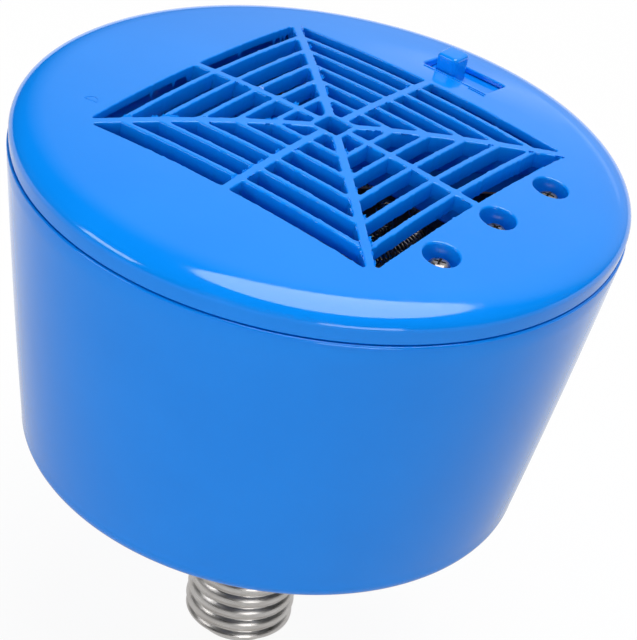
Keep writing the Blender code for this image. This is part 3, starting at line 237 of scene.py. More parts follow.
# Drum and neck
DRUM_TOP = GROOVE_TOP - GAP
DRUM_EDGE = 0.2 * MM
DRUM_RADIUS = 66.3 * MM
DRUM_BACK_RADIUS = 58.0 * MM
SIDE_RADIUS = 68.55 * MM
SIDE_BACK_RADIUS = 58.3 * MM
LEDGE_DROP = 0.25 * MM
LEDGE_ROUND = 0.45 * MM
DRUM_BULGE = 0.3 * MM
DRUM_WALL = 2.4 * MM
BACK_WALL = 2.6 * MM
BACK_HEIGHT = 56.3 * MM
BACK_FILLET = 3.8 * MM
BACK_SPACING = 6 * MM
FLAT_START = 0.5 * MM
SIDE_PARTS = 30
INSIDE_PARTS = 12
VENT_COUNT = 16
VENT_INNER = 27 * MM
VENT_OUTER = 48 * MM
VENT_WIDTH = 4.0 * MM
VENT_EDGE = 0.4 * MM
NECK_RADIUS = 16.4 * MM
NECK_END_RADIUS = 15.0 * MM
NECK_FILLET = 3.0 * MM
NECK_BORE = 8.4 * MM
NECK_SWELL = 0.05 * MM
NECK_STRAIGHT = 0.3 * MM
BORE_EDGE = 0.4 * MM
SPIGOT_END = 9.5 * MM

# Screw cap
CAP_SIDES = 160
CAP_ROWS = 130
CAP_TOP = 27.5 * MM
CAP_BORE = 11.5 * MM
CAP_SHEET = 0.5 * MM
CAP_CONE_TOP = 6.4 * MM
CAP_MOUTH = 8.2 * MM
CAP_MOUTH_HEIGHT = 2.6 * MM
SHOULDER = 1.2 * MM
SHOULDER_DROP = 0.55 * MM
THREAD_RADIUS = 13.15 * MM
THREAD_ROOT = 12.3 * MM
THREAD_PITCH = 3.629 * MM
THREAD_LOW = 5.2 * MM
THREAD_HIGH = 26.6 * MM
THREAD_FADE = 1.6 * MM
THREAD_PHASE = 183
THREAD_CREST = 0.55
GLASS_TIP = 0.8 * MM
GLASS_TOP = 9.2 * MM
GLASS_BORE = 1.9 * MM
GLASS_SIDES = 128
CONTACT_RADIUS = 5.6 * MM
CONTACT_DOME = 1.2 * MM
CONTACT_STEM = 1.6 * MM
CONTACT_SIDES = 96

ROUND_SIDES = 256
HOLE_SIDES = 64
PIECES = "lamp_pieces"


def dome_height(x, y):
    """Height of the lid's outer surface over a point."""
    return HEIGHT - DOME_RADIUS + math.sqrt(DOME_RADIUS ** 2 - x * x - y * y)


def under_dome(depth):
    """Surface that lies a depth under the dome."""
    return lambda x, y: dome_height(x, y) - depth


def level(height):
    """Flat surface at a height."""
    return lambda x, y: height


def drum_radius(height, top=DRUM_RADIUS, back=DRUM_BACK_RADIUS):
    """Radius of the drum's wall at a height, between its radius at the seam and at the back."""
    share = (SEAM_HEIGHT - height) / (SEAM_HEIGHT - BACK_HEIGHT - BACK_FILLET)
    return top + (back - top) * share + 4 * DRUM_BULGE * max(share, 0) * (1 - share)


def side_radius(height):
    """Radius of the drum's outer face, which stands a little proud of the lid at the seam."""
    return drum_radius(height, SIDE_RADIUS, SIDE_BACK_RADIUS)


# Outlines: points with the direction that leads out of the outline

def circle_outline(radius, x=0.0, y=0.0, sides=HOLE_SIDES):
    """A circle about a point."""
    outline = []
    for side in range(sides):
        angle = 2 * math.pi * side / sides
        out = Vector((math.cos(angle), math.sin(angle)))
        outline.append((Vector((x, y)) + radius * out, out))
    return outline


def rounded_outline(corners, radius, spacing=OUTLINE_SPACING, steps=4):
    """A convex outline with rounded corners, its straight stretches cut into short ones."""
    area = sum(corners[index - 1].cross(corners[index]) for index in range(len(corners)))
    if area < 0:
        corners = corners[::-1]
    arcs = []
    for index, corner in enumerate(corners):
        before = (corner - corners[index - 1]).normalized()
        after = (corners[(index + 1) % len(corners)] - corner).normalized()
        turn = math.acos(max(-1, min(1, before.dot(after))))
        out = Vector((before.y, -before.x))
        centre = corner - before * radius * math.tan(turn / 2) - out * radius
        points = []
        for step in range(steps + 1):
            direction = Matrix.Rotation(turn * step / steps, 2) @ out
            points.append((centre + direction * radius, direction))
        arcs.append(points)
    outline = []
    for index, points in enumerate(arcs):
        outline += points
        start, out = points[-1]
        end = arcs[(index + 1) % len(arcs)][0][0]
        parts = max(1, round((end - start).length / spacing))
        outline += [(start.lerp(end, part / parts), out) for part in range(1, parts)]
    return outline


def box_corners(length, width, x=0.0, y=0.0):
    """Corners of a rectangle about a point, anticlockwise."""
    return [Vector((x + side_x * length / 2, y + side_y * width / 2))
            for side_x, side_y in ((-1, -1), (1, -1), (1, 1), (-1, 1))]


def quarter(parts, first=0):
    """Angles in even steps up to a right angle."""
    return [math.pi / 2 * part / parts for part in range(first, parts + 1)]


def arc_steps(radius, parts):
    """Offsets and drops round a quarter circle, from level to upright."""
    return [(radius * (1 - math.sin(angle)), radius * (1 - math.cos(angle)))
            for angle in quarter(parts)]


class Shell:
    """A closed mesh that grows ring by ring."""

    def __init__(self):
        self.points = []
        self.faces = []

    def ring(self, places):
        first = len(self.points)
        self.points += places
        return list(range(first, len(self.points)))

    def band(self, first, second):
        for index in range(len(first)):
            after = (index + 1) % len(first)
            self.faces.append((first[index], first[after], second[after], second[index]))

    def loft(self, outline, steps, start=None):
        """Bands round an outline. A step is an offset out of the outline and a surface."""
        rings = [] if start is None else [start]
        for offset, surface in steps:
            places = []
            for point, out in outline:
                x, y = point + offset * out
                places.append((x, y, surface(x, y)))
            rings.append(self.ring(places))
        for first, second in zip(rings, rings[1:]):
            self.band(first, second)
        return rings

    def turned(self, profile, sides=ROUND_SIDES, start=None):
        """Rings of a profile turned about Z, as radius and height pairs."""
        outline = circle_outline(0, sides=sides)
        return self.loft(outline, [(radius, level(height)) for radius, height in profile], start)

    def fill(self, rings, surface, spacing=0.0):
        """Triangles between an outer ring and those of its holes, over a grid of points."""
        known = [index for ring in rings for index in ring]
        flat = [Vector(self.points[index][:2]) / MM for index in known]
        edges = []
        first = 0
        for ring in rings:
            count = len(ring)
            edges += [(first + index, first + (index + 1) % count) for index in range(count)]
            first += count
        if spacing:
            reach = max(point.length for point in flat)
            parts = int(reach / (spacing / MM))
            for row in range(-parts, parts + 1):
                for column in range(-parts, parts + 1):
                    place = Vector((column + 0.5 * (row % 2), row)) * (spacing / MM)
                    if place.length < reach - 0.3 * spacing / MM:
                        flat.append(place)
        places, _, faces, origins, _, _ = geometry.delaunay_2d_cdt(flat, edges, [], 0, 0.00001)
        made = {}
        for corner, origin in enumerate(origins):
            if origin and origin[0] < len(known):
                made[corner] = known[origin[0]]
        for face in outside_holes(faces, made, rings[1:]):
            for corner in face:
                if corner not in made:
                    x, y = places[corner] * MM
                    made[corner] = self.ring([(x, y, surface(x, y))])[0]
            self.faces.append(tuple(made[corner] for corner in face))

    def close(self, ring, height):
        """A cap over a ring, with a point at its middle."""
        middle = self.ring([(*centre_of(self.points, ring), height)])[0]
        for index in range(len(ring)):
            self.faces.append((ring[index], ring[(index + 1) % len(ring)], middle))

    def mesh(self, name, sharp=40):
        mesh = bpy.data.meshes.new(name)
        mesh.from_pydata(self.points, [], self.faces)
        shape = bmesh.new()
        shape.from_mesh(mesh)
        bmesh.ops.recalc_face_normals(shape, faces=shape.faces)
        shape.to_mesh(mesh)
        shape.free()
        mesh.shade_smooth()
        mesh.set_sharp_from_angle(angle=math.radians(sharp))
        return mesh

    def add(self, name, material, slot, *nodes, body="housing", sharp=40):
        """Make the shell a piece of the lamp."""
        add_object(name, self.mesh(name, sharp), material, body, slot, *nodes)


def outside_holes(faces, made, holes):
    """Drop the faces inside holes, found by spreading from the holes' edges."""
    fence = set()
    for ring in holes:
        for index, corner in enumerate(ring):
            fence.add((ring[index - 1], corner))
    owner = {}
    for number, face in enumerate(faces):
        for index, corner in enumerate(face):
            owner[(face[index - 1], corner)] = number
    found = {number for (start, end), number in owner.items()
             if (made.get(start), made.get(end)) in fence}
    spread = list(found)
    while spread:
        face = faces[spread.pop()]
        for index, corner in enumerate(face):
            start = face[index - 1]
            beside = owner.get((corner, start))
            if (made.get(start), made.get(corner)) in fence or beside is None or beside in found:
                continue
            found.add(beside)
            spread.append(beside)
    return [face for number, face in enumerate(faces) if number not in found]


def centre_of(points, ring):
    x = sum(points[index][0] for index in ring) / len(ring)
    y = sum(points[index][1] for index in ring) / len(ring)
    return x, y


def new_object(name, data):
    """A new object in the scene's own collection."""
    made = bpy.data.objects.new(name, data)
    bpy.context.scene.collection.objects.link(made)
    return made


def add_object(name, data, material, body, slot, *nodes):
    """A piece of the lamp that rides on a body and may stand for CAD nodes."""
    piece = bpy.data.objects.new(name, data)
    bpy.data.collections[PIECES].objects.link(piece)
    piece.data.materials.clear()
    piece.data.materials.append(material)
    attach(piece, body)
    if nodes:
        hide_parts(*nodes)
    return piece


# Materials

class Wires:
    """Short ways to add and join the nodes of a tree."""

    def __init__(self, tree):
        self.tree = tree

    def add(self, kind, **values):
        node = self.tree.nodes.new(kind)
        for key, value in values.items():
            setattr(node, key, value)
        return node

    def join(self, output, socket):
        self.tree.links.new(output, socket)

    def math(self, operation, first, second):
        node = self.add("ShaderNodeMath", operation=operation)
        self.join(first, node.inputs[0])
        if isinstance(second, (int, float)):
            node.inputs[1].default_value = second
        else:
            self.join(second, node.inputs[1])
        return node.outputs[0]

    def dot(self, vector, direction):
        node = self.add("ShaderNodeVectorMath", operation='DOT_PRODUCT')
        self.join(vector, node.inputs[0])
        node.inputs[1].default_value = direction
        return node.outputs["Value"]

    def spread(self, value, start, end, low, high, way='SMOOTHSTEP'):
        """Map a value between start and end to low and high."""
        node = self.add("ShaderNodeMapRange", interpolation_type=way)
        for socket, number in zip(node.inputs[1:5], (start, end, low, high)):
            socket.default_value = number
        self.join(value, node.inputs[0])
        return node.outputs[0]


class Nodes(Wires):
    """A material's nodes round its shader."""

    def __init__(self, name):
        self.material = bpy.data.materials.new(name)
        self.material.use_nodes = True
        super().__init__(self.material.node_tree)
        self.shader = self.tree.nodes["Principled BSDF"]
        self.place = self.add("ShaderNodeTexCoord").outputs["Object"]

    def noise(self, size, detail, stretch=None):
        """Noise whose grains are about a size across."""
        node = self.add("ShaderNodeTexNoise")
        node.inputs["Scale"].default_value = 1 / size
        node.inputs["Detail"].default_value = detail
        place = self.place
        if stretch:
            mapping = self.add("ShaderNodeMapping")
            mapping.inputs["Scale"].default_value = stretch
            self.join(self.place, mapping.inputs["Vector"])
            place = mapping.outputs["Vector"]
        self.join(place, node.inputs["Vector"])
        return node.outputs["Fac"]

    def ramp(self, value, low, high, start=0.35, end=0.65):
        """Map noise between two numbers."""
        return self.spread(value, start, end, low, high, 'LINEAR')

    def paint(self, value, first, second, start=0.35, end=0.65):
        """Colour the shader with a mix of two colours by noise."""
        node = self.add("ShaderNodeMix", data_type='RGBA')
        node.inputs[6].default_value = (*first, 1)
        node.inputs[7].default_value = (*second, 1)
        self.join(self.ramp(value, 0, 1, start, end), node.inputs[0])
        self.join(node.outputs[2], self.shader.inputs["Base Color"])

    def polish(self, value, smooth, rough):
        """Vary the shader's roughness by noise."""
        self.join(self.ramp(value, smooth, rough), self.shader.inputs["Roughness"])

    def bump(self, *layers):
        """Bumps one over the other, each a value, a strength and a depth."""
        normal = None
        for value, strength, depth in layers:
            node = self.add("ShaderNodeBump")
            node.inputs["Strength"].default_value = strength
            node.inputs["Distance"].default_value = depth
            self.join(value, node.inputs["Height"])
            if normal:
                self.join(normal, node.inputs["Normal"])
            normal = node.outputs["Normal"]
        self.join(normal, self.shader.inputs["Normal"])

    def set(self, **values):
        for key, value in values.items():
            self.shader.inputs[key.replace("_", " ")].default_value = value


def blue_plastic():
    """Glossy moulded plastic with faint flow marks, sink waves and fine scuffs."""
    nodes = Nodes("blue_plastic")
    nodes.paint(nodes.noise(30 * MM, 3), (0.001, 0.250, 0.90), (0.002, 0.262, 0.93))
    nodes.polish(nodes.noise(9 * MM, 6, (1, 3, 1)), 0.06, 0.13)
    nodes.bump((nodes.noise(22 * MM, 1), 0.35, 0.25 * MM),
               (nodes.noise(0.5 * MM, 2), 0.03, 0.05 * MM))
    nodes.set(IOR=1.5, Coat_Weight=0.15, Coat_Roughness=0.06)
    return nodes.material


def nickel_metal():
    """Satin nickel plate with turned lines."""
    nodes = Nodes("nickel_plate")
    nodes.paint(nodes.noise(6 * MM, 4), (0.88, 0.855, 0.83), (0.76, 0.73, 0.70))
    lines = nodes.noise(1.5 * MM, 4, (0.3, 0.3, 9))
    nodes.polish(lines, 0.26, 0.38)
    nodes.bump((lines, 0.08, 0.03 * MM), (nodes.noise(0.8 * MM, 3), 0.05, 0.03 * MM))
    nodes.set(Metallic=1.0)
    return nodes.material


def steel_metal():
    """Zinc-plated steel with fine grain and dull stains."""
    nodes = Nodes("steel_sheet")
    nodes.paint(nodes.noise(4 * MM, 4), (0.46, 0.43, 0.41), (0.26, 0.24, 0.23))
    nodes.polish(nodes.noise(1.2 * MM, 4), 0.22, 0.42)
    nodes.bump((nodes.noise(0.4 * MM, 3), 0.08, 0.03 * MM))
    nodes.set(Metallic=1.0)
    return nodes.material


def black_plastic():
    """Black moulded plastic, satin, with dust in its grain."""
    nodes = Nodes("black_plastic")
    nodes.paint(nodes.noise(5 * MM, 4), (0.010, 0.010, 0.011), (0.024, 0.022, 0.020))
    nodes.polish(nodes.noise(3 * MM, 4), 0.38, 0.55)
    nodes.bump((nodes.noise(0.5 * MM, 3), 0.12, 0.04 * MM))
    return nodes.material


def mica_sheet():
    """Pressed mica: brown flakes with a pearly sheen, their browns painted far darker than mica's own
    as painted shade for the dim inside of the drum.
    """
    nodes = Nodes("mica_sheet")
    flakes = nodes.add("ShaderNodeTexVoronoi")
    flakes.inputs["Scale"].default_value = 1 / (2.2 * MM)
    nodes.join(nodes.place, flakes.inputs["Vector"])
    distance = flakes.outputs["Distance"]
    # Painted shade: both browns are mica's brown made near black, to stand in for the shade inside the
    # drum
    nodes.paint(distance, (0.026, 0.018, 0.012), (0.055, 0.038, 0.026), 0, 0.9)
    nodes.polish(nodes.noise(1.5 * MM, 3), 0.25, 0.5)
    nodes.bump((distance, 0.15, 0.05 * MM))
    return nodes.material


def heating_wire():
    """Oxidised resistance wire, dark with bright spots where the oxide is thin."""
    nodes = Nodes("heating_wire")
    nodes.paint(nodes.noise(3 * MM, 4), (0.10, 0.085, 0.075), (0.34, 0.32, 0.30), 0.45, 0.7)
    nodes.polish(nodes.noise(2 * MM, 3), 0.22, 0.45)
    nodes.set(Metallic=1.0)
    return nodes.material


def grey_glass():
    """Fused glass of the cap's insulator, dark grey with faint swirls."""
    nodes = Nodes("grey_glass")
    nodes.paint(nodes.noise(3 * MM, 4), (0.022, 0.020, 0.026), (0.055, 0.050, 0.062))
    nodes.polish(nodes.noise(2 * MM, 3), 0.10, 0.22)
    nodes.bump((nodes.noise(2.5 * MM, 2), 0.2, 0.1 * MM))
    return nodes.material


def dark_sleeve():
    """Braided heat-proof sleeve of the inner leads."""
    nodes = Nodes("dark_sleeve")
    nodes.paint(nodes.noise(0.6 * MM, 3), (0.030, 0.020, 0.017), (0.075, 0.052, 0.042))
    nodes.bump((nodes.noise(0.4 * MM, 3), 0.5, 0.08 * MM))
    nodes.set(Roughness=0.7)
    return nodes.material


# Lid with its web grille

def rib_line(index):
    """Distance of a rib's middle from the grille's centre; rib 0 is the small hub square."""
    return HUB_HALF + RIB_WIDTH / 2 + index * RIB_PITCH


def slot_corners():
    """The web's openings: for each side, two rows of slots that the spokes divide."""
    beside_corner = CORNER_SPOKE / math.sqrt(2)
    beside_side = SIDE_SPOKE / 2
    centre = Vector((GRILLE_X, GRILLE_Y))
    slots = [box_corners(2 * HUB_HALF, 2 * HUB_HALF, GRILLE_X, GRILLE_Y)]
    for quarter in range(4):
        turn_by = Matrix.Rotation(math.radians(90 * quarter), 2)
        for index in range(RIB_COUNT):
            near = rib_line(index) + RIB_WIDTH / 2
            far = rib_line(index + 1) - RIB_WIDTH / 2
            for side in (1, -1):
                corners = [(near, beside_side), (far, beside_side),
                           (far, far - beside_corner), (near, near - beside_corner)]
                slots.append([centre + turn_by @ Vector((x, side * y)) for x, y in corners])
    return slots


def web_underside(x, y):
    """Underside of the lid, which is thicker where the web's ribs are."""
    inside = max(abs(x - GRILLE_X), abs(y - GRILLE_Y)) < GRILLE_HALF - 0.1 * MM
    return dome_height(x, y) - (RIB_DEPTH if inside else LID_WALL)


def burr(x, y):
    """Ragged excess along a moulded edge: mostly none, with short flakes."""
    place = Vector((x, y, 0)) / MM
    fine = noise.noise(place * 1.3)
    coarse = noise.noise(place * 0.35 + Vector((7, 3, 1)))
    return BURR * max(0, fine + 0.6 * coarse)


def top_edge(radius, parts, reach=0.0):
    """Steps over the dome and round the top edge of an opening."""
    steps = [(reach + radius + EDGE_SUPPORT, under_dome(0))]
    return steps + [(reach + offset, under_dome(drop)) for offset, drop in arc_steps(radius, parts)]


def cut_slot(shell, corners):
    """Rounded top edge, wall and bottom edge of one opening."""
    outline = [(point - burr(*point) * out, out)
               for point, out in rounded_outline(corners, SLOT_CORNER)]
    steps = top_edge(EDGE_ROUND, 3)
    steps += [(0, lambda x, y: web_underside(x, y) + EDGE_ROUND), (EDGE_ROUND, web_underside)]
    rings = shell.loft(outline, steps)
    return rings[0], rings[-1]


def cut_well(shell, row):
    """A counterbore with its floor, the screw's hole and the post round it."""
    x, y = WELL_X, GRILLE_Y + WELL_SHIFT + WELL_SPACING * row
    floor = dome_height(WELL_X, 0) - WELL_DEPTH
    low = level(floor - WELL_FLOOR)
    outline = circle_outline(0, x, y)
    steps = top_edge(WELL_ROUND, 5, WELL_RADIUS)
    steps += [(WELL_RADIUS - WELL_TAPER, level(floor + 2 * GAP)),
              (WELL_RADIUS - GAP, level(floor)), (SCREW_HOLE, level(floor)), (SCREW_HOLE, low),
              (WELL_RADIUS + WELL_WALL, low), (WELL_RADIUS + WELL_WALL, under_dome(LID_WALL))]
    rings = shell.loft(outline, steps)
    return rings[0], rings[-1]


def cut_recess(shell):
    """The switch's opening, and under it the framed pocket that the slider runs in."""
    opening = rounded_outline(box_corners(RECESS_LENGTH, RECESS_WIDTH, RECESS_X, RECESS_Y),
                              RECESS_CORNER)
    top = shell.loft(opening, top_edge(RECESS_ROUND, 5) + [(0, level(POCKET_TOP))])
    pocket = rounded_outline(box_corners(POCKET_LENGTH, POCKET_WIDTH, RECESS_X, RECESS_Y),
                             POCKET_CORNER)
    under = shell.loft(pocket, [(0, level(POCKET_TOP)), (0, level(FRAME_LOW)),
                                (FRAME_WALL, level(FRAME_LOW)), (FRAME_WALL, under_dome(LID_WALL))])
    shell.fill([under[0], top[-1]], level(POCKET_TOP))
    return top[0], under[-1]


def rim_profile():
    """From the dome's edge round the rim, skirt, groove and spigot to the underside."""
    start = Vector((FLAT_REACH, dome_height(FLAT_REACH, 0)))
    tilt = math.asin(FLAT_REACH / DOME_RADIUS)
    shoulder = start + RIM_SHOULDER * Vector((math.cos(tilt), -math.sin(tilt)))
    end = Vector((LID_RADIUS, RIM_HEIGHT))
    above = end + Vector((0, RIM_DROP))
    curve = geometry.interpolate_bezier(start, shoulder, above, end, RIM_PARTS)
    profile = [tuple(point[:2]) for point in curve]
    edge = SKIRT_EDGE
    corner = edge * 0.3
    low = LID_RADIUS - SKIRT_DRAFT
    profile += [(low + 0.02 * MM, SEAM_HEIGHT + 2 * edge), (low, SEAM_HEIGHT + edge),
                (low - corner, SEAM_HEIGHT + corner), (low - edge, SEAM_HEIGHT)]
    groove_outer = drum_radius(GROOVE_TOP) + GAP
    spigot_end = SEAM_HEIGHT - SPIGOT_DEPTH
    spigot_top = drum_radius(GROOVE_TOP) - DRUM_WALL - GAP
    spigot_low = drum_radius(spigot_end) - DRUM_WALL - GAP
    inside = spigot_low - SPIGOT_WALL
    profile += [(groove_outer, SEAM_HEIGHT), (groove_outer, GROOVE_TOP), (spigot_top, GROOVE_TOP),
                (spigot_low, spigot_end), (inside, spigot_end),
                (inside, dome_height(inside, 0) - LID_WALL)]
    return profile


def make_lid(material):
    """The lid with its web, wells and switch opening, in one closed mesh."""
    shell = Shell()
    rim = shell.turned(rim_profile())
    holes = [cut_slot(shell, corners) for corners in slot_corners()]
    holes += [cut_well(shell, row) for row in (-1, 0, 1)]
    holes.append(cut_recess(shell))
    shell.fill([rim[0]] + [top for top, _ in holes], under_dome(0), TOP_SPACING)
    shell.fill([rim[-1]] + [bottom for _, bottom in holes], web_underside, UNDERSIDE_SPACING)
    shell.add("lid_shell", material, "blue_plastic", "front_lid")


def make_spokes(material):
    """The deep part of the eight spokes under the web's plate."""
    shell = Shell()
    low = HEIGHT - SPOKE_DEPTH
    for eighth in range(8):
        corner = eighth % 2 == 1
        half = (CORNER_SPOKE if corner else SIDE_SPOKE) / 2 - SPOKE_STEP
        stretch = math.sqrt(2) if corner else 1
        reach = GRILLE_HALF * stretch + SPOKE_OVERRUN
        start = HUB_HALF * stretch + SPOKE_EDGE
        turn_by = Matrix.Rotation(math.radians(45 * eighth), 2)
        corners = [turn_by @ Vector(place) + Vector((GRILLE_X, GRILLE_Y))
                   for place in ((start, -half), (reach, -half), (reach, half), (start, half))]
        outline = rounded_outline(corners, SPOKE_EDGE, 1.2 * MM, 3)
        rings = shell.loft(outline, [
            (-SPOKE_CHAMFER, under_dome(SPOKE_TOP)), (0, under_dome(SPOKE_TOP + SPOKE_CHAMFER)),
            (-SPOKE_TAPER / 2, under_dome(RIB_DEPTH + SPOKE_TOP)),
            (-SPOKE_TAPER, level(low + SPOKE_EDGE)), (-SPOKE_TAPER - SPOKE_EDGE, level(low))])
        shell.fill([rings[0]], under_dome(SPOKE_TOP))
        shell.fill([rings[-1]], level(low))
    shell.add("grille_spokes", material, "blue_plastic")


def make_slider(material):
    """The switch's knob on the plate that slides under the lid."""
    shell = Shell()
    knob = rounded_outline(box_corners(KNOB_LENGTH, KNOB_WIDTH, KNOB_X, KNOB_Y), KNOB_CORNER,
                           steps=6)
    steps = [(0, level(SLIDER_TOP))]
    steps += [(-offset, level(KNOB_TOP - drop))
              for offset, drop in reversed(arc_steps(KNOB_EDGE, 5))]
    block = shell.loft(knob, steps)
    shell.fill([block[-1]], level(KNOB_TOP))
    plate = rounded_outline(box_corners(SLIDER_LENGTH, SLIDER_WIDTH, SLIDER_X, RECESS_Y),
                            SLIDER_CORNER)
    edges = shell.loft(plate, [(-SLIDER_EDGE, level(SLIDER_TOP)),
                               (0, level(SLIDER_TOP - SLIDER_EDGE)), (0, level(SLIDER_LOW))])
    stem = rounded_outline(box_corners(STEM_LENGTH, STEM_WIDTH, KNOB_X, KNOB_Y), STEM_CORNER)
    peg = shell.loft(stem, [(0, level(SLIDER_LOW)), (0, level(STEM_LOW))])
    shell.fill([edges[0], block[0]], level(SLIDER_TOP))
    shell.fill([edges[-1], peg[0]], level(SLIDER_LOW))
    shell.fill([peg[-1]], level(STEM_LOW))
    shell.add("switch_slider", material, "blue_plastic", "switch_knob", body="switch", sharp=35)


def add_bead(shell, outline, height, edge=BEAD_EDGE):
    """A low bead on the dome, with its foot a little under the surface."""
    foot = shell.loft(outline, [(-edge, under_dome(BEAD_FOOT)), (0, under_dome(BEAD_START)),
                                (0, under_dome(edge - height)), (-edge, under_dome(-height))])
    shell.fill([foot[0]], under_dome(BEAD_FOOT))
    shell.fill([foot[-1]], under_dome(-height))


def make_marks(material):
    """Two fine lines by the switch and the D-shaped mark of an ejector pin."""
    shell = Shell()
    for start, end, y in LINES:
        corners = box_corners(end - start, LINE_WIDTH, (start + end) / 2, y)
        add_bead(shell, rounded_outline(corners, LINE_CORNER, BEAD_SPACING, 2), LINE_HEIGHT)
    centre = Vector((MARK_X, MARK_Y))
    arc = []
    for step in range(MARK_PARTS + 1):
        angle = math.radians(180 * step / MARK_PARTS)
        arc.append(centre + MARK_HALF * Vector((math.cos(angle), math.sin(angle))))
    for first, second in zip(arc, arc[1:] + arc[:1]):
        along = (second - first).normalized() * MARK_LINE
        across = Vector((-along.y, along.x))
        corners = [first - along - across, second + along - across,
                   second + along + across, first - along + across]
        outline = rounded_outline(corners, MARK_CORNER, BEAD_SPACING, 1)
        add_bead(shell, outline, MARK_HEIGHT, MARK_EDGE)
    shell.add("lid_marks", material, "blue_plastic")


def add_flake(shell, place, along, length, height, lean):
    """A ragged sliver of flash that stands on an edge."""
    out = Vector((along.y, -along.x)) * (1 if lean > 0 else -1)
    thick = out * FLAKE_HALF
    rings = []
    for step in range(FLAKE_PARTS + 1):
        share = step / FLAKE_PARTS
        ragged = 0.6 + 0.4 * math.sin(9 * share)
        reach = height * math.sin(math.pi * min(max(share, 0.06), 0.94)) * ragged
        x, y = place + along * length * (share - 0.5)
        top = Vector((x, y)) + out * abs(lean) * reach
        base = dome_height(x, y) - FLAKE_FOOT
        rings.append(shell.ring([(x - thick.x, y - thick.y, base), (x + thick.x, y + thick.y, base),
                                 (*(top + thick * 0.4), base + 0.2 * MM + reach),
                                 (*(top - thick * 0.4), base + 0.22 * MM + reach)]))
    for first, second in zip(rings, rings[1:]):
        shell.band(first, second)
    shell.faces.append(tuple(reversed(rings[0])))
    shell.faces.append(tuple(rings[-1]))


def make_flash(material):
    """Slivers of flash along the spokes' edges, most of them on the spoke towards the front."""
    shell = Shell()
    draw = random.Random(FLASH_SEED)
    centre = Vector((GRILLE_X, GRILLE_Y))
    for eighth, count in enumerate(FLASH_COUNTS):
        corner = eighth % 2 == 1
        along = Matrix.Rotation(math.radians(45 * eighth), 2) @ Vector((1, 0))
        half = (CORNER_SPOKE if corner else SIDE_SPOKE) / 2
        reach = GRILLE_HALF * (math.sqrt(2) if corner else 1)
        for _ in range(count):
            side = -1 if draw.random() < FLASH_LOW_SIDE else 1
            distance = reach * (FLASH_START + FLASH_REACH * draw.random())
            across = Vector((-along.y, along.x)) * side * (half - FLAKE_HALF / 2)
            add_flake(shell, centre + along * distance + across, along,
                      draw.uniform(*FLASH_LENGTH) * MM, draw.uniform(*FLASH_HEIGHT) * MM,
                      -side * draw.uniform(*FLASH_LEAN))
    shell.add("grille_flash", material, "blue_plastic", sharp=60)


# Drum

def drum_side():
    """Outside of the drum from its hidden top edge to the flat back."""
    side_end = BACK_HEIGHT + BACK_FILLET
    ledge = SEAM_HEIGHT - LEDGE_DROP
    register = drum_radius(DRUM_TOP)
    profile = [(register - DRUM_EDGE, DRUM_TOP), (register, DRUM_TOP - DRUM_EDGE), (register, ledge)]
    side_start = ledge - LEDGE_ROUND
    for offset, drop in reversed(arc_steps(LEDGE_ROUND, 4)):
        profile.append((side_radius(side_start) - offset, ledge - drop))
    for step in range(1, SIDE_PARTS + 1):
        height = side_start + (side_end - side_start) * step / SIDE_PARTS
        profile.append((side_radius(height), height))
    for angle in quarter(12, 1):
        profile.append((SIDE_BACK_RADIUS - BACK_FILLET * (1 - math.cos(angle)),
                        side_end - BACK_FILLET * math.sin(angle)))
    profile.append((SIDE_BACK_RADIUS - BACK_FILLET - FLAT_START, BACK_HEIGHT))
    return profile


def neck_profile():
    """From the flat back down the neck, over the cap's spigot and up the bore."""
    top = BACK_HEIGHT - NECK_FILLET
    end = CAP_TOP + GAP
    edge = NECK_FILLET / 3
    floor = BACK_HEIGHT + BACK_WALL
    profile = [(NECK_RADIUS + NECK_FILLET + FLAT_START, BACK_HEIGHT)]
    for angle in quarter(8):
        profile.append((NECK_RADIUS + NECK_FILLET * (1 - math.sin(angle)),
                        top + NECK_FILLET * math.cos(angle)))
    profile.append((NECK_END_RADIUS + NECK_SWELL, end + edge + NECK_STRAIGHT))
    for angle in quarter(6):
        profile.append((NECK_END_RADIUS - edge * (1 - math.cos(angle)),
                        end + edge * (1 - math.sin(angle))))
    profile += [(CAP_BORE - GAP, end), (CAP_BORE - GAP, SPIGOT_END), (NECK_BORE, SPIGOT_END),
                (NECK_BORE, floor - BORE_EDGE), (NECK_BORE + BORE_EDGE, floor)]
    return profile


def drum_inside():
    """From the floor up the inner wall to the top edge."""
    floor = BACK_HEIGHT + BACK_WALL
    fillet = BACK_FILLET - DRUM_WALL
    inner = DRUM_BACK_RADIUS - DRUM_WALL
    profile = [(inner - fillet - FLAT_START, floor)]
    for angle in quarter(6):
        profile.append((inner - fillet * (1 - math.sin(angle)),
                        floor + fillet * (1 - math.cos(angle))))
    for step in range(1, INSIDE_PARTS + 1):
        height = floor + fillet + (DRUM_TOP - floor - fillet) * step / INSIDE_PARTS
        profile.append((drum_radius(height) - DRUM_WALL, height))
    return profile


def vent_outline(index):
    """A slot with round ends that points away from the axis."""
    half = VENT_WIDTH / 2
    middle = (VENT_INNER + VENT_OUTER) / 2
    turn_by = Matrix.Rotation(2 * math.pi * (index + 0.5) / VENT_COUNT, 2)
    corners = [turn_by @ corner
               for corner in box_corners(VENT_OUTER - VENT_INNER, VENT_WIDTH, middle)]
    return rounded_outline(corners, half * 0.999, 1.5 * MM, 8)


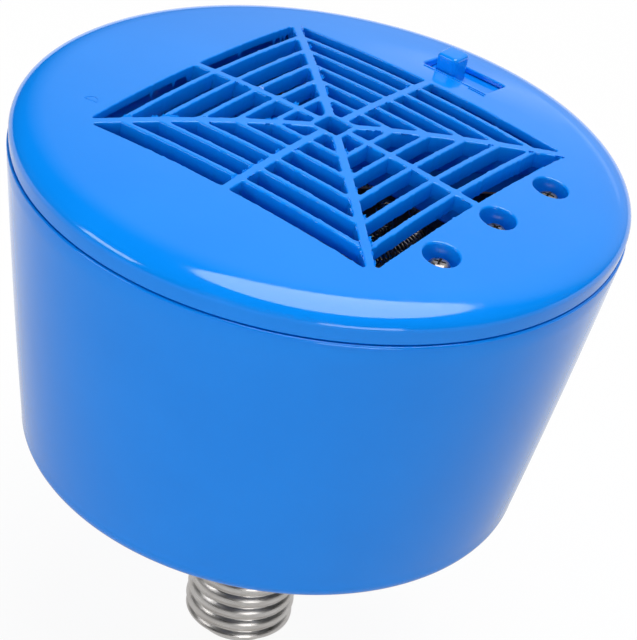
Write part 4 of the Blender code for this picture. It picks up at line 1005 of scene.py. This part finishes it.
def make_drum(material):
    """The drum with its neck, spigot and air slots, in one closed mesh."""
    shell = Shell()
    floor = BACK_HEIGHT + BACK_WALL
    outside = shell.turned(drum_side())
    inside = shell.turned(drum_inside())
    neck = shell.turned(neck_profile(), HOLE_SIDES * 2)
    shell.band(inside[-1], outside[0])
    vents = []
    for index in range(VENT_COUNT):
        steps = [(VENT_EDGE + EDGE_SUPPORT, level(BACK_HEIGHT))]
        steps += [(offset, level(BACK_HEIGHT + drop)) for offset, drop in arc_steps(VENT_EDGE, 4)]
        steps += [(0, level(floor - VENT_EDGE)), (VENT_EDGE, level(floor))]
        vents.append(shell.loft(vent_outline(index), steps))
    shell.fill([outside[-1], neck[0]] + [vent[0] for vent in vents], level(BACK_HEIGHT),
               BACK_SPACING)
    shell.fill([inside[0], neck[-1]] + [vent[-1] for vent in vents], level(floor), BACK_SPACING)
    shell.add("drum_shell", material, "blue_plastic", "drum_housing")


# Screw cap

def thread_reach(height, degrees):
    """How far the thread stands out of its root: broad crests that fade at both ends."""
    turns = (height - THREAD_LOW) / THREAD_PITCH - (degrees - THREAD_PHASE) / 360
    wave = (0.5 + 0.5 * math.cos(2 * math.pi * turns)) ** THREAD_CREST
    fade = min(height - THREAD_LOW, THREAD_HIGH - height) / THREAD_FADE
    share = min(max(fade, 0), 1)
    return (THREAD_RADIUS - THREAD_ROOT) * wave * share * share * (3 - 2 * share)


def make_thread(metal):
    """The screw shell: its rolled thread, its mouth and its bore."""
    shell = Shell()
    rings = []
    for row in range(CAP_ROWS + 1):
        height = CAP_TOP + (CAP_CONE_TOP - SHOULDER - CAP_TOP) * row / CAP_ROWS
        shoulder = max(0, (CAP_CONE_TOP - height) / SHOULDER)
        places = []
        for side in range(CAP_SIDES):
            degrees = 360 * side / CAP_SIDES
            angle = math.radians(degrees)
            radius = THREAD_ROOT + thread_reach(height, degrees) - SHOULDER_DROP * shoulder ** 2
            places.append((radius * math.cos(angle), radius * math.sin(angle), height))
        rings.append(shell.ring(places))
    for first, second in zip(rings, rings[1:]):
        shell.band(first, second)
    mouth = [(CAP_MOUTH + 1.4 * MM, CAP_MOUTH_HEIGHT + 0.35 * MM),
             (CAP_MOUTH + 0.5 * MM, CAP_MOUTH_HEIGHT), (CAP_MOUTH, CAP_MOUTH_HEIGHT + 0.1 * MM),
             (CAP_MOUTH, CAP_MOUTH_HEIGHT + CAP_SHEET), (CAP_BORE - 0.4 * MM, CAP_CONE_TOP + 0.4 * MM),
             (CAP_BORE, CAP_CONE_TOP + 1 * MM), (CAP_BORE, CAP_TOP)]
    last = shell.turned(mouth, CAP_SIDES, rings[-1])[-1]
    shell.band(last, rings[0])
    shell.add("cap_thread", metal, "nickel_plate", "cap_shell", sharp=60)


def make_insulator(glass):
    """The ring of glass between the screw shell and the contact."""
    shell = Shell()
    seat = CONTACT_RADIUS + GAP
    rings = shell.turned([
        (GLASS_BORE, CONTACT_DOME + GAP), (seat, CONTACT_DOME + GAP),
        (seat, GLASS_TIP + 0.1 * MM), (seat + 0.1 * MM, GLASS_TIP),
        (seat + GAP, GLASS_TIP), (seat + 1.2 * MM, GLASS_TIP + 0.35 * MM),
        (CAP_MOUTH - GAP, 1.75 * MM), (CAP_MOUTH - GAP, CAP_MOUTH_HEIGHT + GAP),
        (CAP_BORE - GAP, CAP_CONE_TOP + 1.2 * MM), (CAP_BORE - GAP, GLASS_TOP),
        (GLASS_BORE, GLASS_TOP)], GLASS_SIDES)
    shell.band(rings[-1], rings[0])
    shell.add("cap_glass", glass, "grey_glass", "cap_insulator")


def make_contact(metal):
    """The domed contact on its stem."""
    shell = Shell()
    profile = [(CONTACT_STEM, GLASS_TOP), (CONTACT_STEM, CONTACT_DOME),
               (CONTACT_RADIUS, CONTACT_DOME)]
    for angle in quarter(12, 1)[:-1]:
        profile.append((CONTACT_RADIUS * math.cos(angle), CONTACT_DOME * (1 - math.sin(angle))))
    rings = shell.turned(profile, CONTACT_SIDES)
    shell.close(rings[0], GLASS_TOP)
    shell.close(rings[-1], 0)
    shell.add("contact_button", metal, "nickel_plate", "cap_contact")


# Lid screws

def screw_mesh():
    """Pan head with a cross recess, standing on its seat at the origin."""
    shell = Shell()
    profile = [(0.35 * MM, HEAD_HEIGHT)]
    for angle in reversed(quarter(8)[:-1]):
        profile.append((HEAD_RADIUS * (HEAD_FLAT + (1 - HEAD_FLAT) * math.cos(angle)),
                        HEAD_HEIGHT * (HEAD_FLAT + (1 - HEAD_FLAT) * math.sin(angle))))
    profile += [(HEAD_RADIUS, HEAD_EDGE), (HEAD_RADIUS - HEAD_EDGE, 0), (SHANK_RADIUS, 0),
                (SHANK_RADIUS, TIP_LENGTH - SHANK_LENGTH), (TIP_RADIUS, -SHANK_LENGTH)]
    rings = shell.turned(profile, SCREW_SIDES)
    shell.close(rings[0], HEAD_HEIGHT)
    shell.close(rings[-1], -SHANK_LENGTH)
    return shell.mesh("screw")


def cross_mesh():
    """Cutter for a cross recess: two crossed wedges with sloping ends."""
    shape = bmesh.new()
    for degrees in (0, 90):
        made = bmesh.ops.create_cube(shape, size=1)
        for vertex in made["verts"]:
            length, width, rise = CROSS_TOP if vertex.co.z > 0 else CROSS_FLOOR
            place = Vector((vertex.co.x * length, vertex.co.y * width, HEAD_HEIGHT + rise))
            vertex.co = Matrix.Rotation(math.radians(degrees), 3, 'Z') @ place
    mesh = bpy.data.meshes.new("cross_recess")
    shape.to_mesh(mesh)
    shape.free()
    return mesh


def apply_modifiers(piece):
    """Bake a piece's modifiers into its mesh."""
    graph = bpy.context.evaluated_depsgraph_get()
    graph.update()
    baked = bpy.data.meshes.new_from_object(piece.evaluated_get(graph))
    piece.modifiers.clear()
    piece.data = baked


def make_screws(material):
    """The three lid screws on the floors of their wells."""
    seat = dome_height(WELL_X, 0) - WELL_DEPTH + GAP
    for row in (-1, 0, 1):
        screw = new_object("screw", screw_mesh())
        cutter = new_object("cross_recess", cross_mesh())
        cut = screw.modifiers.new("cross", 'BOOLEAN')
        cut.operation = 'DIFFERENCE'
        cut.object = cutter
        cut.use_self = True
        apply_modifiers(screw)
        data = screw.data
        place = Matrix.Translation((WELL_X, GRILLE_Y + WELL_SPACING * row, seat))
        data.transform(place @ Matrix.Rotation(math.radians(SCREW_TURNS[row + 1]), 4, 'Z'))
        data.shade_smooth()
        data.set_sharp_from_angle(angle=math.radians(35))
        bpy.data.objects.remove(screw)
        bpy.data.objects.remove(cutter)
        number = row + 2
        add_object(f"screw_{number}", data, material, "housing", "steel_sheet",
                   f"lid_screw_{number}")


# Inner pieces

def make_coil(material):
    """The heating wire, wound in a fine helix along a flat spiral."""
    box_low, box_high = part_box("heating_element")
    height = (box_low[2] + box_high[2]) / 2
    spiral = []
    length = 0.0
    first = -COIL_OVERRUN
    last = 360 * COIL_TURNS + COIL_OVERRUN
    for degrees in range(first, last + 1):
        radius = COIL_FIRST_RADIUS + COIL_SPACING * degrees / 360
        angle = math.radians(COIL_ANGLE + degrees)
        spiral.append((length, radius, angle))
        length += radius * math.radians(1)
    wound = COIL_RADIUS - COIL_WIRE
    points = []
    for (start, radius, angle), (end, next_radius, next_angle) in zip(spiral, spiral[1:]):
        parts = max(1, round((end - start) / COIL_PITCH * COIL_PARTS))
        for part in range(parts):
            share = part / parts
            turned = 2 * math.pi * (start + (end - start) * share) / COIL_PITCH
            reach = radius + (next_radius - radius) * share + wound * math.cos(turned)
            around = angle + (next_angle - angle) * share
            points.append((reach * math.cos(around), reach * math.sin(around),
                           height + wound * math.sin(turned)))
    curve = bpy.data.curves.new("heating_coil", 'CURVE')
    curve.dimensions = '3D'
    curve.bevel_depth = COIL_WIRE
    curve.bevel_resolution = 0
    curve.use_fill_caps = True
    spline = curve.splines.new('POLY')
    spline.points.add(len(points) - 1)
    for point, place in zip(spline.points, points):
        point.co = (*place, 1)
    add_object("heating_coil", curve, material, "housing", "heating_wire", "heating_element")


def finish_nodes(frame, materials):
    """Give each CAD node that still shows the finish of its material slot."""
    for row in frame["record"]["subparts"]:
        node = frame["nodes"][row["node"]]
        if node.hide_render or row["material_slot"] not in materials:
            continue
        node.data.materials.clear()
        node.data.materials.append(materials[row["material_slot"]])


# Camera, light and floor

def make_camera():
    """The camera that the photograph was fitted with."""
    camera = new_object("camera", bpy.data.cameras.new("camera"))
    camera.data.lens = CAMERA_LENS
    camera.data.sensor_width = SENSOR_WIDTH
    camera.data.clip_end = 20
    turn_by = Matrix((CAMERA_RIGHT, CAMERA_UP, CAMERA_BACK)).transposed().to_4x4()
    camera.matrix_world = Matrix.Translation(CAMERA_PLACE) @ turn_by
    bpy.context.scene.camera = camera


def add_light(name, target, azimuth, elevation, size, radiance, distance=1.2, shape='RECTANGLE',
              mirrored=True):
    """A soft box seen from a target in a direction, with its width and height in metres."""
    light = bpy.data.lights.new(name, 'AREA')
    light.shape = shape
    light.size, light.size_y = size
    area = size[0] * size[1] * (math.pi / 4 if shape == 'ELLIPSE' else 1)
    light.energy = radiance * math.pi * area
    lamp = new_object(name, light)
    level_reach = math.cos(math.radians(elevation))
    towards = Vector((level_reach * math.cos(math.radians(azimuth)),
                      level_reach * math.sin(math.radians(azimuth)), math.sin(math.radians(elevation))))
    lamp.location = Vector(target) + distance * towards
    lamp.rotation_euler = (-towards).to_track_quat('-Z', 'Y').to_euler()
    lamp.visible_glossy = mirrored


def make_lights():
    """Three soft boxes that the gloss mirrors, one overhead and two in front, and four fills."""
    drum = (0, 0, 0.08)
    lid = (0, 0, 0.13)
    left_rim = (-0.006, -0.068, 0.132)
    right_rim = (0.046, -0.051, 0.131)
    add_light("top_box", lid, 40, 83, size=(1.0, 1.0), radiance=4.7, distance=1.1,
              shape='ELLIPSE')
    add_light("fill", drum, -70, 8, size=(1.0, 0.8), radiance=3.0, mirrored=False)
    add_light("back_fill", lid, 120, 25, size=(0.8, 0.5), radiance=2.6, mirrored=False)
    add_light("left_fill", drum, -165, 8, size=(0.8, 0.8), radiance=1.5, mirrored=False)
    add_light("right_fill", drum, 45, 8, size=(0.8, 0.8), radiance=1.4, mirrored=False)
    add_light("left_box", left_rim, -129, 22, size=(0.38, 0.22), radiance=4.8, distance=0.9)
    add_light("right_box", right_rim, -36, -4, size=(0.46, 0.32), radiance=4.0, distance=0.9)


def make_world():
    """A dim studio with a white wall behind the lamp. The camera sees white all round."""
    world = bpy.data.worlds.new("studio")
    bpy.context.scene.world = world
    world.use_nodes = True
    nodes = Wires(world.node_tree)
    back = world.node_tree.nodes["Background"]
    place = nodes.add("ShaderNodeTexCoord").outputs["Generated"]
    wall = nodes.spread(nodes.dot(place, WALL), *WALL_EDGE, *WALL_GLOW)
    height = nodes.dot(place, (0, 0, 1))
    band = nodes.math('MULTIPLY', nodes.spread(height, *STRIP_LOW, 0, STRIP_GLOW),
                      nodes.spread(height, *STRIP_HIGH, 1, 0))
    strip = nodes.math('MULTIPLY', band, nodes.spread(nodes.dot(place, STRIP), *STRIP_EDGE, 0, 1))
    lit = nodes.math('ADD', wall, strip)
    camera = nodes.add("ShaderNodeLightPath").outputs["Is Camera Ray"]
    nodes.join(nodes.math('MAXIMUM', camera, lit), back.inputs["Strength"])
    back.inputs["Color"].default_value = WHITE


def make_floor():
    """Floor: white to the camera but for a soft shadow, paler in reflections behind the lamp."""
    mesh = bpy.data.meshes.new("floor")
    reach = FLOOR_REACH
    mesh.from_pydata([(-reach, -reach, 0), (reach, -reach, 0), (reach, reach, 0), (-reach, reach, 0)],
                     [], [(0, 1, 2, 3)])
    floor = new_object("floor", mesh)
    material = bpy.data.materials.new("floor")
    material.use_nodes = True
    tree = material.node_tree
    tree.nodes.clear()
    nodes = Wires(tree)
    path = nodes.add("ShaderNodeLightPath")
    camera = path.outputs["Is Camera Ray"]
    place = nodes.add("ShaderNodeTexCoord").outputs["Object"]
    far = nodes.spread(nodes.dot(place, BEHIND), *FLOOR_EDGE, *FLOOR_GLOW)
    paint = nodes.add("ShaderNodeMix", data_type='RGBA')
    paint.inputs[6].default_value = FLOOR_GREY
    paint.inputs[7].default_value = FLOOR_PALE
    nodes.join(camera, paint.inputs[0])
    diffuse = nodes.add("ShaderNodeBsdfDiffuse")
    nodes.join(paint.outputs[2], diffuse.inputs["Color"])
    glow = nodes.add("ShaderNodeEmission")
    glow.inputs["Color"].default_value = WHITE
    nodes.join(nodes.math('MAXIMUM', camera, far), glow.inputs["Strength"])
    seen = nodes.math('MAXIMUM', camera, path.outputs["Is Glossy Ray"])
    mix = nodes.add("ShaderNodeMixShader")
    nodes.join(nodes.math('MULTIPLY', seen, FLOOR_LIT), mix.inputs[0])
    nodes.join(diffuse.outputs[0], mix.inputs[1])
    nodes.join(glow.outputs[0], mix.inputs[2])
    output = nodes.add("ShaderNodeOutputMaterial")
    nodes.join(mix.outputs[0], output.inputs["Surface"])
    mesh.materials.append(material)


def main():
    """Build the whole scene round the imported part."""
    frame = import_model()
    collection = bpy.data.collections.new(PIECES)
    bpy.context.scene.collection.children.link(collection)
    bpy.context.scene.view_settings.view_transform = 'Standard'
    blue = blue_plastic()
    nickel = nickel_metal()
    steel = steel_metal()
    make_camera()
    make_lid(blue)
    make_spokes(blue)
    make_flash(blue)
    make_marks(blue)
    make_slider(blue)
    make_drum(blue)
    make_thread(nickel)
    make_insulator(grey_glass())
    make_contact(nickel)
    make_screws(steel)
    make_coil(heating_wire())
    finish_nodes(frame, {"blue_plastic": blue, "black_plastic": black_plastic(),
                         "nickel_plate": nickel, "steel_sheet": steel,
                         "mica_sheet": mica_sheet(), "red_sleeve": dark_sleeve()})
    make_world()
    make_floor()
    make_lights()


main()
